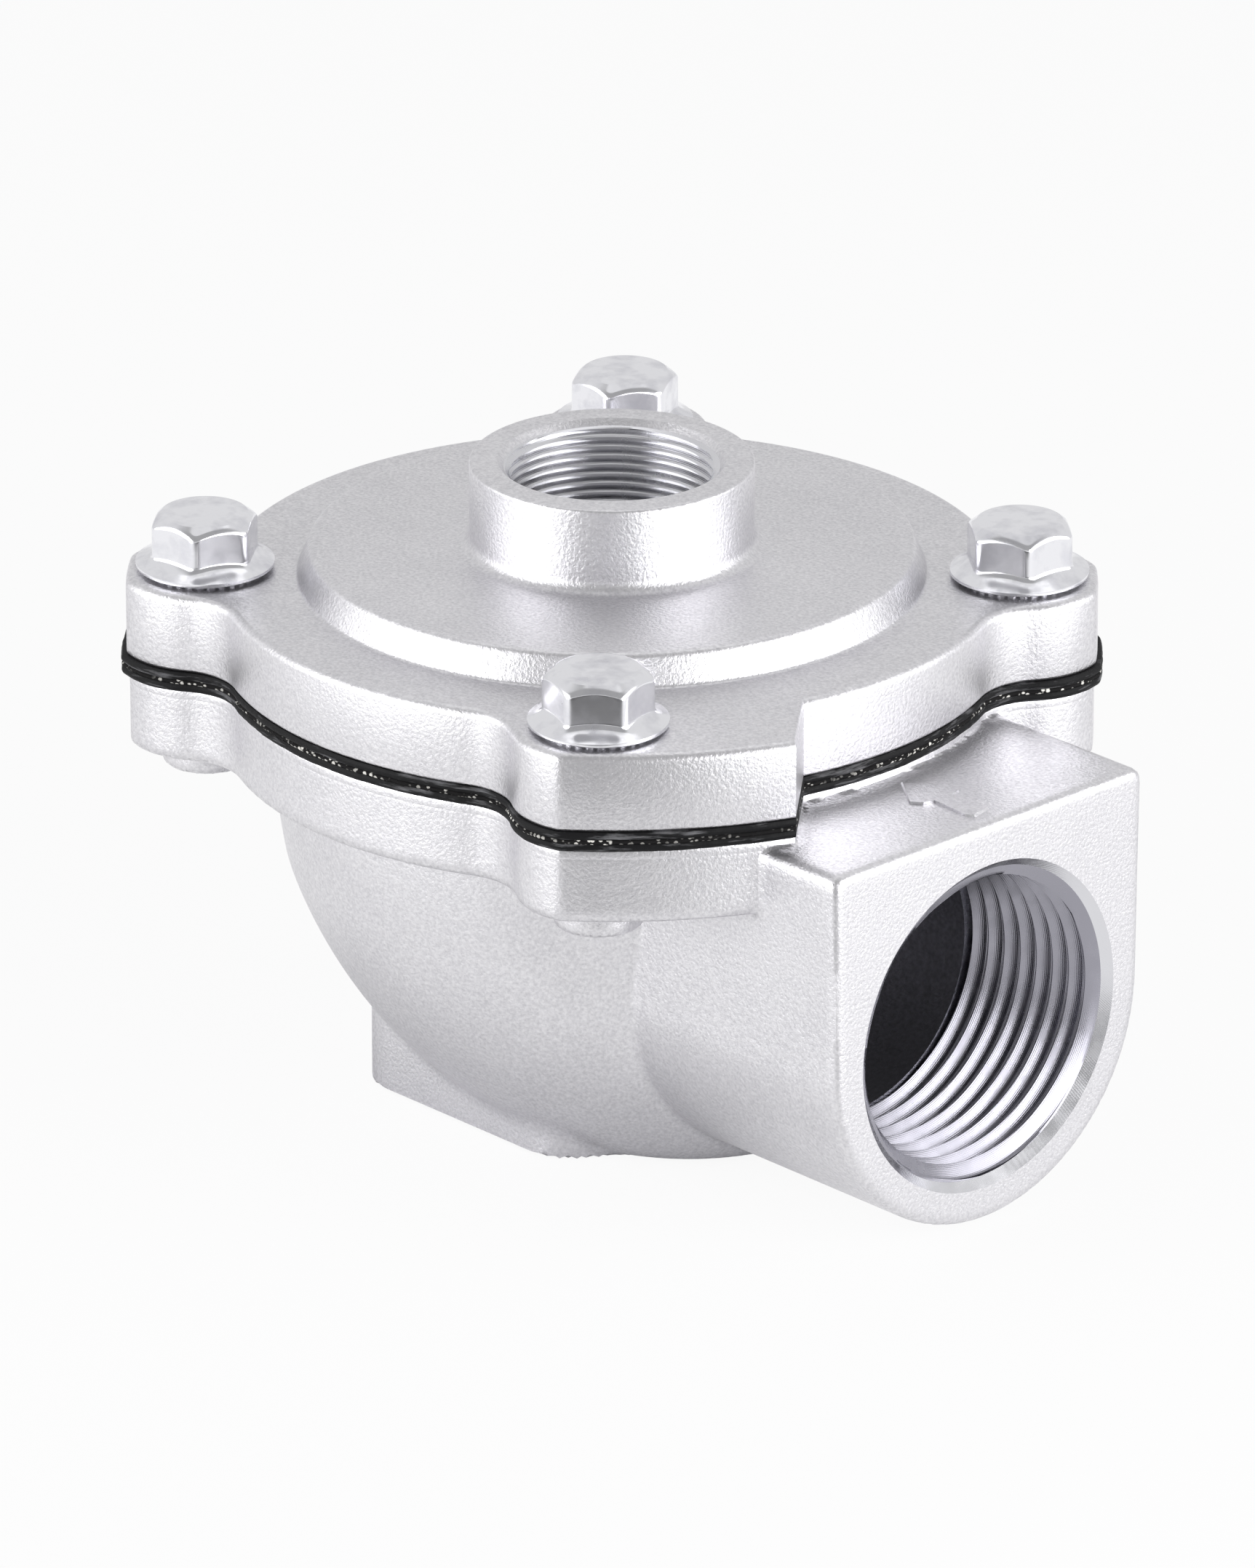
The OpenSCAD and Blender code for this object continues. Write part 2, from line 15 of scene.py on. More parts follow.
import bmesh
import bpy
import numpy as np
from bpy.types import Material, Mesh, Node, NodeSocket, NodeTree, Object
from mathutils import Matrix, Vector

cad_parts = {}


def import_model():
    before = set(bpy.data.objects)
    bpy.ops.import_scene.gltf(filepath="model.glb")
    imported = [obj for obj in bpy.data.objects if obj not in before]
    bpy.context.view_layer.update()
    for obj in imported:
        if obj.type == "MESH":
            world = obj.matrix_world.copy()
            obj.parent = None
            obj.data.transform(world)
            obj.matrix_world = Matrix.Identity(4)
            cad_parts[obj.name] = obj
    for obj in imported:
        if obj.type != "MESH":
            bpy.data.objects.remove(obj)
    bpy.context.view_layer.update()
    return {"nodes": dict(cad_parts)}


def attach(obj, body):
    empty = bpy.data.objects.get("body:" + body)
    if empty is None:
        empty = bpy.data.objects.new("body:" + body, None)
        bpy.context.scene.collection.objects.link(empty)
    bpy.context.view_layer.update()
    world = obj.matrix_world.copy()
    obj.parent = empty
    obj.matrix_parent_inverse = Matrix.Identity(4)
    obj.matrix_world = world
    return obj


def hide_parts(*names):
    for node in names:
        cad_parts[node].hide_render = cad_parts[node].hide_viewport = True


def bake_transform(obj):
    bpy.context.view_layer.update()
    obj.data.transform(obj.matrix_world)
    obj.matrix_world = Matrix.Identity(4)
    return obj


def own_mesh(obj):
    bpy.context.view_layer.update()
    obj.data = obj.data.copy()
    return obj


LOG = logging.getLogger("pulse_valve")
MM = 0.001

Array = np.ndarray
Pair = tuple[float, float]
Triple = tuple[float, float, float]
Inputs = dict[int | str, object]


class Body(Enum):
    """The two bodies of the valve."""

    HOUSING = "housing"
    LIFT = "lift_stack"


class Slot(Enum):
    """The record's material slots that the pieces here use."""

    CASTING = "cast_aluminium"
    ZINC = "zinc_steel"
    SPRING = "spring_steel"
    RUBBER = "rubber"
    CLOTH = "woven_fabric"


# Colours and node trees


def linear(hex_colour: str) -> tuple[float, float, float, float]:
    """Turns an sRGB hex colour into linear RGBA.

    Each channel c goes to c / 12.92 below 0.04045, and to
    ((c + 0.055) / 1.055) ^ 2.4 above it.

    Args:
        hex_colour: colour such as "#c8c9cd".

    Returns:
        Red, green, blue and an alpha of 1.
    """
    channels = [int(hex_colour[i : i + 2], 16) / 255 for i in (1, 3, 5)]
    values = [c / 12.92 if c <= 0.04045 else ((c + 0.055) / 1.055) ** 2.4 for c in channels]
    return values[0], values[1], values[2], 1.0


def feed(node: Node, inputs: Inputs) -> None:
    """Gives a node its socket values and incoming links.

    Args:
        node: node whose inputs are set.
        inputs: by an input's name or number, a plain value, a socket to link
            from, or a node whose first live output is linked.
    """
    for key, value in inputs.items():
        if isinstance(value, Node):
            value = next(socket for socket in value.outputs if socket.enabled)
        if isinstance(value, NodeSocket):
            node.id_data.links.new(value, node.inputs[key])
        else:
            node.inputs[key].default_value = value


def add_node(tree: NodeTree, kind: str, inputs: Inputs | None = None, **settings: object) -> Node:
    """Adds one node with its settings, socket values and incoming links.

    Args:
        tree: node tree that receives the node.
        kind: type name without "ShaderNode", such as "TexNoise".
        inputs: values, sockets and nodes for its inputs, as feed takes them.
        settings: attributes of the node itself.

    Returns:
        The new node.
    """
    node = tree.nodes.new("ShaderNode" + kind)
    for key, value in settings.items():
        setattr(node, key, value)
    feed(node, inputs or {})
    return node


def new_material(name: str) -> tuple[Material, NodeTree, Node, NodeSocket]:
    """Makes a material that holds a Principled shader, its output and Object coordinates.

    Args:
        name: name of the material.

    Returns:
        The material, its node tree, the shader and the coordinates' socket.
    """
    material = bpy.data.materials.new(name)
    material.use_nodes = True
    tree = material.node_tree
    tree.nodes.clear()
    shader = add_node(tree, "BsdfPrincipled")
    add_node(tree, "OutputMaterial", {"Surface": shader})
    return material, tree, shader, add_node(tree, "TexCoord").outputs["Object"]


def sized(place: NodeSocket | Node, size_mm: float, **values: float) -> Inputs:
    """Inputs of a texture whose cells are size_mm wide on Object coordinates."""
    return {"Vector": place, "Scale": 1.0 / (size_mm * MM), **values}


def join_patterns(
    shader: Node, colours: tuple[str, str], tone: Node, gloss: Node | float, height: Node,
    strength: float, depth_mm: float,
) -> None:
    """Joins the patterns of a finish to its shader.

    Args:
        shader: the material's shader.
        colours: colours where the tone is 0 and where it is 1.
        tone: pattern of the colour.
        gloss: pattern of the roughness, or one roughness all over.
        height: pattern of the surface's height.
        strength: share of the bumps that shows.
        depth_mm: how deep the bumps are.
    """
    tree = shader.id_data
    first, last = map(linear, colours)
    colour = add_node(tree, "Mix", {0: tone, 6: first, 7: last}, data_type="RGBA")
    depth = {"Strength": strength, "Distance": depth_mm * MM}
    bump = add_node(tree, "Bump", {"Height": height, **depth})
    feed(shader, {"Base Color": colour, "Roughness": gloss, "Normal": bump})


@dataclass(frozen=True)
class BlastedCasting:
    """Die-cast aluminium blasted with fine beads.

    The beads leave even, sparkling grains of about a third of a millimetre, and
    the casting skin under them varies softly over a few millimetres. The same finish with darker
    colours stands for the as-cast skin of the die inside, and that darkness is also painted shade
    of the hollow chamber and passage.
    """

    name: str = "blasted_die_cast_aluminium"
    bright: str = "#e8e7ea"
    dull: str = "#cccbcf"
    grain_mm: float = 0.36
    patch_mm: float = 7.0
    patch_share: float = 0.2
    tone_ends: Pair = (0.38, 0.82)
    roughness: float = 0.4
    bump_mm: float = 0.09

    def material(self) -> Material:
        """Builds the material from grains, patches and a bump of the grains."""
        material, tree, shader, place = new_material(self.name)
        grain = add_node(tree, "TexNoise", sized(place, self.grain_mm, Detail=2.0, Roughness=0.6))
        patch = add_node(tree, "TexNoise", sized(place, self.patch_mm, Detail=3.0))
        mixed = add_node(
            tree, "Math", {0: patch, 1: self.patch_share, 2: grain}, operation="MULTIPLY_ADD"
        )
        low, high = self.tone_ends
        tone = add_node(tree, "MapRange", {"Value": mixed, "From Min": low, "From Max": high})
        gloss = add_node(tree, "MapRange", {
            "Value": mixed, "To Min": self.roughness + 0.1, "To Max": self.roughness - 0.08,
        })
        join_patterns(shader, (self.dull, self.bright), tone, gloss, grain, 0.7, self.bump_mm)
        feed(shader, {"Metallic": 1.0})
        return material


@dataclass(frozen=True)
class TurnedMetal:
    """Metal cut in a lathe.

    The tool leaves fine rings round the axis of the cut, drawn here at 0.25 mm,
    because the real feed of under 0.1 mm is too fine to show.
    """

    name: str
    colour: str
    axis: Triple
    centre_mm: Triple = (0.0, 0.0, 0.0)
    roughness: float = 0.22
    ring_mm: float = 0.25
    smear_mm: float = 2.5
    bump_mm: float = 0.004

    def material(self) -> Material:
        """Builds the material from rings round the axis and light smears."""
        material, tree, shader, place = new_material(self.name)
        centre = tuple(c * MM for c in self.centre_mm)
        moved = add_node(tree, "VectorMath", {0: place, 1: centre}, operation="SUBTRACT")
        along = add_node(tree, "VectorMath", {0: moved, 1: self.axis}, operation="DOT_PRODUCT")
        across = add_node(tree, "VectorMath", {0: moved, 1: self.axis}, operation="CROSS_PRODUCT")
        reach = add_node(tree, "VectorMath", {0: across}, operation="LENGTH")
        both = add_node(tree, "Math", {0: along, 1: reach}, operation="ADD")
        turns = 1.0 / (self.ring_mm * MM) * 2 * math.pi
        phase = add_node(tree, "Math", {0: both, 1: turns}, operation="MULTIPLY")
        rings = add_node(tree, "Math", {0: phase}, operation="SINE")
        smear = add_node(tree, "TexNoise", sized(place, self.smear_mm, Detail=4.0))
        gloss = add_node(tree, "MapRange", {
            "Value": smear, "From Min": 0.3, "From Max": 0.7,
            "To Min": self.roughness - 0.05, "To Max": self.roughness + 0.08,
        })
        bump = add_node(
            tree, "Bump", {"Height": rings, "Strength": 0.5, "Distance": self.bump_mm * MM}
        )
        feed(shader, {
            "Base Color": linear(self.colour), "Metallic": 1.0, "Roughness": gloss, "Normal": bump,
        })
        return material


@dataclass(frozen=True)
class PlatedSteel:
    """Cold-forged or rolled steel with a thin bright plating.

    Bright zinc is smooth and a little blue, with soft waves from the forging
    and faint cloudy spots where the passivation is thicker.
    """

    name: str
    colour: str
    cloud: str
    roughness: float
    cloud_mm: float = 2.2
    wave_mm: float = 2.4
    bump_mm: float = 0.009

    def material(self) -> Material:
        """Builds the material from clouds in the colour and waves in the surface."""
        material, tree, shader, place = new_material(self.name)
        clouds = add_node(tree, "TexNoise", sized(place, self.cloud_mm, Detail=4.0))
        waves = add_node(tree, "TexNoise", sized(place, self.wave_mm, Detail=2.0))
        tone = add_node(tree, "MapRange", {"Value": clouds, "From Min": 0.45, "From Max": 0.72})
        gloss = add_node(
            tree, "MapRange",
            {"Value": tone, "To Min": self.roughness, "To Max": self.roughness + 0.16},
        )
        join_patterns(shader, (self.colour, self.cloud), tone, gloss, waves, 0.5, self.bump_mm)
        feed(shader, {"Metallic": 1.0})
        return material


@dataclass(frozen=True)
class MouldedRubber:
    """Nitrile rubber from a heated mould.

    It is matt black with a fine grain, and pale dust lies along its edges in
    streaks a few millimetres long.
    """

    name: str = "moulded_nitrile_rubber"
    colour: str = "#0f0f11"
    bloom: str = "#77777a"
    roughness: float = 0.55
    grain_mm: float = 0.3
    streak_mm: float = 6.0
    streak_flatness: float = 9.0
    bump_mm: float = 0.05

    def material(self) -> Material:
        """Builds the material from streaks of dust and a fine moulded grain."""
        material, tree, shader, place = new_material(self.name)
        flat = add_node(
            tree, "Mapping", {"Vector": place, "Scale": (1, 1, self.streak_flatness)},
            vector_type="POINT",
        )
        bloom = add_node(tree, "TexNoise", sized(flat, self.streak_mm, Detail=6.0, Roughness=0.65))
        grain = add_node(tree, "TexNoise", sized(place, self.grain_mm, Detail=2.0))
        tone = add_node(tree, "MapRange", {"Value": bloom, "From Min": 0.53, "From Max": 0.72})
        gloss = add_node(tree, "MapRange", {
            "Value": bloom, "To Min": self.roughness - 0.1, "To Max": self.roughness + 0.2,
        })
        join_patterns(shader, (self.colour, self.bloom), tone, gloss, grain, 0.6, self.bump_mm)
        feed(shader, {"Specular IOR Level": 0.18})
        return material


@dataclass(frozen=True)
class CutCloth:
    """Polyamide cloth pressed into rubber and cut through.

    The cut shows the ends of pale yarns, about 0.6 mm apart, in black rubber.
    They are clean in some stretches and covered with rubber in others.
    """

    name: str = "cut_edge_of_rubbered_cloth"
    rubber: str = "#131213"
    yarn: str = "#f0eee8"
    pitch_mm: float = 0.6
    stretch_mm: float = 9.0
    roughness: float = 0.8
    bump_mm: float = 0.08

    def material(self) -> Material:
        """Builds the material from one pale spot in most cells of a grid."""
        material, tree, shader, place = new_material(self.name)
        grid = sized(place, self.pitch_mm, Randomness=0.75)
        cells = add_node(tree, "TexVoronoi", grid, feature="F1")
        worn = add_node(tree, "TexNoise", sized(place, self.stretch_mm, Detail=4.0))
        spot = add_node(tree, "MapRange", {
            "Value": cells.outputs["Distance"], "From Min": 0.42, "From Max": 0.3,
        })
        shown = add_node(tree, "MapRange", {"Value": worn, "From Min": 0.38, "From Max": 0.56})
        share = add_node(tree, "Math", {0: spot, 1: shown}, operation="MULTIPLY")
        join_patterns(
            shader, (self.rubber, self.yarn), share, self.roughness, spot, 0.8, self.bump_mm
        )
        feed(shader, {"Specular IOR Level": 0.18})
        return material


# Meshes


def grid_faces(
    rows: int, columns: int, close_rows: bool = False, close_columns: bool = True
) -> Array:
    """Lists the quads of a grid whose points run along its columns first.

    Args:
        rows: number of rows of points.
        columns: number of points in a row.
        close_rows: joins the last row to the first.
        close_columns: joins the last point of each row to its first.

    Returns:
        One row of four point numbers for each quad.
    """
    last_row = rows if close_rows else rows - 1
    last_column = columns if close_columns else columns - 1
    i, j = np.divmod(np.arange(last_row * last_column), last_column)
    right, up = (j + 1) % columns, (i + 1) % rows
    return np.stack(
        [i * columns + j, i * columns + right, up * columns + right, up * columns + j], axis=1
    )


def new_piece(
    name: str, points: Array, quads: Array, materials: Sequence[Material], sharp_deg: float = 32.0
) -> Object:
    """Makes an object at the origin from points in millimetres.

    Points that lie on each other are merged, which closes poles and seams, and
    the faces are turned outwards by the sign of the volume that they enclose.

    Args:
        name: name of the object and its mesh.
        points: one row of x, y and z for each point.
        quads: one row of four point numbers for each face.
        materials: the piece's materials; faces start with the first.
        sharp_deg: edges that turn by more than this stay sharp.

    Returns:
        The new object.
    """
    a, b, c, d = (points[quads[:, k]] for k in range(4))
    if np.einsum("ij,ij->", a, np.cross(b, c) + np.cross(c, d)) < 0:
        quads = quads[:, ::-1]
    mesh = bpy.data.meshes.new(name)
    mesh.vertices.add(len(points))
    mesh.vertices.foreach_set("co", (points * MM).astype(np.float32).ravel())
    mesh.loops.add(quads.size)
    mesh.loops.foreach_set("vertex_index", quads.astype(np.int32).ravel())
    mesh.polygons.add(len(quads))
    mesh.polygons.foreach_set("loop_start", np.arange(0, quads.size, 4, dtype=np.int32))
    mesh.update(calc_edges=True)
    for material in materials:
        mesh.materials.append(material)
    merge_doubles(mesh)
    shade(mesh, sharp_deg)
    piece = bpy.data.objects.new(name, mesh)
    bpy.context.scene.collection.objects.link(piece)
    return piece


def merge_doubles(mesh: Mesh, reach_mm: float = 1e-4) -> None:
    """Merges points closer than reach_mm and drops the faces that vanish."""
    work = bmesh.new()
    work.from_mesh(mesh)
    bmesh.ops.remove_doubles(work, verts=work.verts, dist=reach_mm * MM)
    work.to_mesh(mesh)
    work.free()


def shade(mesh: Mesh, sharp_deg: float) -> None:
    """Shades a mesh smooth, apart from edges that turn by more than sharp_deg."""
    mesh.polygons.foreach_set("use_smooth", np.ones(len(mesh.polygons), dtype=bool))
    mesh.set_sharp_from_angle(angle=math.radians(sharp_deg))


def around(radius: Array, turn: Array, height: Array) -> Array:
    """Rows of x, y and z: radius r, turn t and height z give (r cos t, r sin t, z)."""
    x, y, z = np.broadcast_arrays(radius * np.cos(turn), radius * np.sin(turn), height)
    return np.stack([x, y, z], axis=-1).reshape(-1, 3)


def carried(
    name: str,
    rows: Sequence[tuple[Array | float, Array | float]],
    turn: Array,
    materials: Sequence[Material],
    closed: bool = True,
    sharp_deg: float = 32.0,
    wrap: bool = True,
) -> Object:
    """Carries a profile round Z: each row is a radius and a height for every direction.

    Args:
        name: name of the piece.
        rows: radius and height of each point of the profile, one number or an
            array over the directions.
        turn: directions in radians.
        materials: the piece's materials.
        closed: joins the profile's last point to its first.
        sharp_deg: edges that turn by more than this stay sharp.
        wrap: joins the last direction to the first.

    Returns:
        The new piece.
    """
    radius = np.stack([np.broadcast_to(np.asarray(r, float), turn.shape) for r, _ in rows])
    height = np.stack([np.broadcast_to(np.asarray(z, float), turn.shape) for _, z in rows])
    faces = grid_faces(len(rows), len(turn), close_rows=closed, close_columns=wrap)
    return new_piece(name, around(radius, turn, height), faces, materials, sharp_deg)


def revolved(
    name: str,
    profile: Sequence[Pair],
    material: Material,
    steps: int,
    closed: bool = False,
    sharp_deg: float = 32.0,
) -> Object:
    """Turns a profile of radii and heights round Z in even steps.

    Args:
        name: name of the piece.
        profile: rows of radius and height.
        material: the piece's material.
        steps: number of positions round the axis.
        closed: joins the profile's last point to its first.
        sharp_deg: edges that turn by more than this stay sharp.

    Returns:
        The new piece.
    """
    turn = np.linspace(0, 2 * np.pi, steps, endpoint=False)
    return carried(name, profile, turn, [material], closed, sharp_deg)


def arc(centre: Pair, radius: float, start_deg: float, end_deg: float, steps: int) -> Array:
    """Points on an arc: centre + radius (cos a, sin a) for a from start to end."""
    a = np.radians(np.linspace(start_deg, end_deg, steps))
    return np.stack([centre[0] + radius * np.cos(a), centre[1] + radius * np.sin(a)], axis=1)


def turn_piece(piece: Object, matrix: Matrix) -> Object:
    """Turns or moves a piece inside its own mesh, so that its object stays at the origin."""
    piece.data.transform(matrix)
    piece.data.update()
    return piece


def cut(piece: Object, tools: Sequence[Object], sharp_deg: float = 32.0) -> Object:
    """Cuts tools out of a piece, gives the cut the tools' material and deletes the tools.

    Args:
        piece: piece that is cut.
        tools: closed pieces that are taken away from it.
        sharp_deg: edges of the result that turn by more than this stay sharp.

    Returns:
        The piece, with a new mesh.
    """
    for tool in tools:
        step = piece.modifiers.new(tool.name, "BOOLEAN")
        step.operation = "DIFFERENCE"
        step.solver = "EXACT"
        step.material_mode = "TRANSFER"
        step.object = tool
    view = bpy.context.evaluated_depsgraph_get()
    view.update()
    result = bpy.data.meshes.new_from_object(piece.evaluated_get(view), depsgraph=view)
    piece.modifiers.clear()
    piece.data = result
    merge_doubles(result)
    shade(result, sharp_deg)
    for tool in tools:
        bpy.data.objects.remove(tool)
    return piece


def dress(piece: Object, slot: Slot, *nodes: str) -> Object:
    """Lets a piece ride on the housing and stand for CAD nodes.

    Args:
        piece: the finished piece.
        slot: the record's material slot of its finish, not used here.
        nodes: CAD nodes that it replaces.

    Returns:
        The piece.
    """
    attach(piece, Body.HOUSING.value)
    if nodes:
        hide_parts(*nodes)
    LOG.info("%s: %d faces", piece.name, len(piece.data.polygons))
    return piece


# Distances from a surface, negative inside it


def soft_min(a: Array, b: Array, reach: float) -> Array:
    """Joins two shapes with a fillet.

    The smaller distance is lowered by h^2 reach / 4, where h = 1 - |a - b| / reach
    and is zero once the distances differ by more than reach.
    """
    h = np.maximum(reach - np.abs(a - b), 0.0) / reach
    return np.minimum(a, b) - h * h * reach / 4


def soft_max(a: Array, b: Array, reach: float) -> Array:
    """Keeps what two shapes share, with the edge between them rounded."""
    return -soft_min(-a, -b, reach)


def surface_mesh(
    distance: Callable[[Array, Array, Array], Array], low: Triple, high: Triple, cell: float
) -> tuple[Array, Array]:
    """Finds the surface where a distance is zero, as quads.

    Each cell of a cubic grid that the surface crosses gets one point, the mean
    of the crossings on its twelve edges. Each grid edge that is crossed gets one
    quad, between the four cells round it. Then every point slides along the
    gradient until its distance is zero: p - d g / |g|^2.

    Args:
        distance: signed distance of arrays x, y and z, in millimetres.
        low: lowest corner of the grid.
        high: highest corner of the grid.
        cell: width of a cell.

    Returns:
        The points and the quads.
    """
    axes = [np.arange(a, b + cell, cell) for a, b in zip(low, high)]
    x, y, z = np.meshgrid(*axes, indexing="ij", sparse=True)
    value = distance(x, y, z).astype(np.float32)
    inside = value < 0
    size = np.array(value.shape) - 1
    corner = [np.array(c) for c in np.ndindex(2, 2, 2)]

    def seen_from(array: Array, offset: Array) -> Array:
        """The array as each cell sees it at one of its corners."""
        return array[tuple(slice(o, o + n) for o, n in zip(offset, size))]

    count = sum(seen_from(inside, c).astype(np.int8) for c in corner)
    busy = (count > 0) & (count < 8)
    where = np.argwhere(busy)
    number = np.full(busy.shape, -1, dtype=np.int64)
    number[busy] = np.arange(len(where))
    total, crossings = np.zeros((len(where), 3)), np.zeros((len(where), 1))
    for start in corner:
        for axis in np.flatnonzero(start == 0):
            end = start.copy()
            end[axis] = 1
            a, b = seen_from(value, start)[busy], seen_from(value, end)[busy]
            crossed = ((a < 0) != (b < 0))[:, None]
            share = np.where(crossed[:, 0], a / np.where(a == b, 1, a - b), 0)[:, None]
            total += np.where(crossed, start + (end - start) * share, 0)
            crossings += crossed
    points = np.array(low) + cell * (where + total / crossings)

    quads = []
    for axis in range(3):
        one, two = [k for k in range(3) if k != axis]
        first = [slice(1, n) for n in size]
        second = list(first)
        first[axis], second[axis] = slice(0, size[axis]), slice(1, size[axis] + 1)
        a, b = inside[tuple(first)], inside[tuple(second)]
        edge = np.argwhere(a != b)
        edge[:, [one, two]] += 1
        around_edge = []
        for step_one, step_two in ((1, 1), (0, 1), (0, 0), (1, 0)):
            near = edge.copy()
            near[:, one] -= step_one
            near[:, two] -= step_two
            around_edge.append(number[tuple(near.T)])
        quad = np.stack(around_edge, axis=1)
        kept = a[a != b] if axis != 1 else ~a[a != b]
        quad[~kept] = quad[~kept][:, ::-1]
        quads.append(quad)

    tiny, rounds = 0.02, 4
    for _ in range(rounds):
        here = distance(*points.T)
        moved = [distance(*(points + tiny * np.eye(3)[k]).T) for k in range(3)]
        slope = (np.stack(moved, axis=1) - here[:, None]) / tiny
        move = here[:, None] * slope / np.maximum((slope**2).sum(1, keepdims=True), 0.05)
        points = points - np.clip(move, -cell / 2, cell / 2)
    return points, np.concatenate(quads)


@dataclass(frozen=True)
class FlangeOutline:
    """Plan of the flanges: a round part, four ears with hollow blends and a keyed lug."""

    round_r: float = 40.0
    bolt_r: float = 41.4
    ear_r: float = 8.7
    tip_r: float = 49.4
    blend_r: float = 7.0
    lug_tip_deg: float = -21.5
    lug_root_deg: float = -14.6
    most_growth: float = 5.5

    def bolt_xy(self, number: int) -> Pair:
        """Where the axis of a bolt stands, counted from 0 at 45 degrees."""
        turn = math.radians(45 + 90 * number)
        return self.bolt_r * math.cos(turn), self.bolt_r * math.sin(turn)

    def radius(self, turn: Array, grow: Array | float = 0.0) -> Array:
        """Distance from the axis to the outline in each direction.

        An ear is L cos f + sqrt(e^2 - L^2 sin^2 f), with f measured from its bolt.
        A hollow is the same with a minus sign, seen from its own centre. The lug
        ends in the straight line from its tip to its root.

        Args:
            turn: directions in radians.
            grow: how far the whole outline is moved outwards.

        Returns:
            One radius for each direction.
        """
        turn, grow = np.broadcast_arrays(np.asarray(turn, float), np.asarray(grow, float))
        length, ear, hollow = self.bolt_r, self.ear_r + grow, self.blend_r - grow
        far, span = self.round_r + self.blend_r, self.ear_r + self.blend_r
        apex = math.acos((far**2 + length**2 - span**2) / (2 * far * length))
        hx, hy = far * math.cos(apex), far * math.sin(apex)
        meet = np.arctan2(ear * hy / span, length + ear * (hx - length) / span)
        off = np.abs(turn % (np.pi / 2) - np.pi / 4)
        away = far * np.sin(apex - off)
        inner = far * np.cos(apex - off) - np.sqrt(np.maximum(hollow**2 - away**2, 0))
        away = length * np.sin(off)
        outer = length * np.cos(off) + np.sqrt(np.maximum(ear**2 - away**2, 0))
        radius = np.where(off < apex, inner, self.round_r + grow)
        radius = np.where(off < meet, outer, radius)
        tip_turn, root_turn = math.radians(self.lug_tip_deg), math.radians(self.lug_root_deg)
        tip_x, tip_y = math.cos(tip_turn), math.sin(tip_turn)
        angle = (turn + np.pi) % (2 * np.pi) - np.pi
        tip_r, root_r = self.tip_r + grow, self.round_r + grow
        step_x = root_r * math.cos(root_turn) - tip_r * tip_x
        step_y = root_r * math.sin(root_turn) - tip_r * tip_y
        line = tip_r * (tip_x * step_y - tip_y * step_x)
        line = line / (np.cos(angle) * step_y - np.sin(angle) * step_x)
        lug = np.where(angle < tip_turn, tip_r, line)
        on_lug = (angle > -np.pi / 4) & (angle < root_turn)
        return np.minimum(np.where(on_lug, np.maximum(radius, lug), radius), tip_r)

    def distance(self, x: Array, y: Array) -> Array:
        """Signed distance to the outline: the growth at which it passes through the point."""
        reach, turn, most = np.hypot(x, y), np.arctan2(y, x), self.most_growth
        grow = np.clip(reach - self.radius(turn), -most, most)
        tiny, rounds = 0.05, 5
        for _ in range(rounds):
            here = self.radius(turn, grow)
            slope = (self.radius(turn, grow + tiny) - here) / tiny
            grow = np.clip(grow + (reach - here) / np.maximum(slope, 0.5), -most, most)
        return grow

    def turns(self, steps: int) -> Array:
        """Directions all round, with the lug's tip and root among them."""
        extra = np.radians([self.lug_tip_deg, self.lug_root_deg])
        even = np.linspace(-np.pi, np.pi, steps, endpoint=False)
        return np.unique(np.concatenate([even, extra]))

    def drills(self, radius: float, low_z: float, high_z: float, metal: Material) -> list[Object]:
        """Four cylinders that drill the bolt holes, from 1 mm below to 1 mm above."""
        profile = [(0, low_z - 1), (radius, low_z - 1), (radius, high_z + 1), (0, high_z + 1)]
        found = []
        for number in range(4):
            drill = revolved(f"bolt_drill_{number}", profile, metal, steps=48)
            place = Matrix.Translation(Vector((*self.bolt_xy(number), 0)) * MM)
            found.append(turn_piece(drill, place))
        return found


@dataclass
class HelicalThread:
    """Inner thread of a port: a sleeve with one ridge that winds along its bore.

    The ridge's height follows asin(k cos u) / asin(k), a triangle wave with
    rounded crests and roots, where u grows by one turn per pitch and per turn.
    The rows of points wind with the ridge, so that each keeps one height on it.
    """

    name: str
    major_r: float
    pitch: float
    depth: float
    length: float
    chamfer: float
    per_pitch: int = 12
    roundness: float = 0.965
    steps: int = 144
    run_in: float = 2.4
    backing: float = 0.35

    def build(self, material: Material) -> Object:
        """Builds the sleeve with its mouth at z = 0 and its bore along -Z."""
        turn = np.linspace(0, 2 * np.pi, self.steps + 1)
        long = self.length - self.chamfer + self.pitch
        count = math.ceil(long / self.pitch * self.per_pitch) + 1
        start = self.chamfer + self.pitch / self.per_pitch * np.arange(count)[:, None]
        down = np.clip(start - self.pitch * turn / (2 * np.pi), self.chamfer, self.length)
        phase = 2 * np.pi * down / self.pitch + turn
        wave = np.arcsin(self.roundness * np.cos(phase)) / math.asin(self.roundness)
        ridge = self.major_r - self.depth * (0.5 + 0.5 * wave)
        inner = np.maximum(ridge, self.major_r + self.run_in * (self.chamfer - down))
        inner[0] = self.major_r
        back = self.major_r + self.backing
        rows = [*zip(inner, -down), (back, -self.length), (back, -self.chamfer)]
        return carried(self.name, rows, turn, [material], sharp_deg=60, wrap=False)


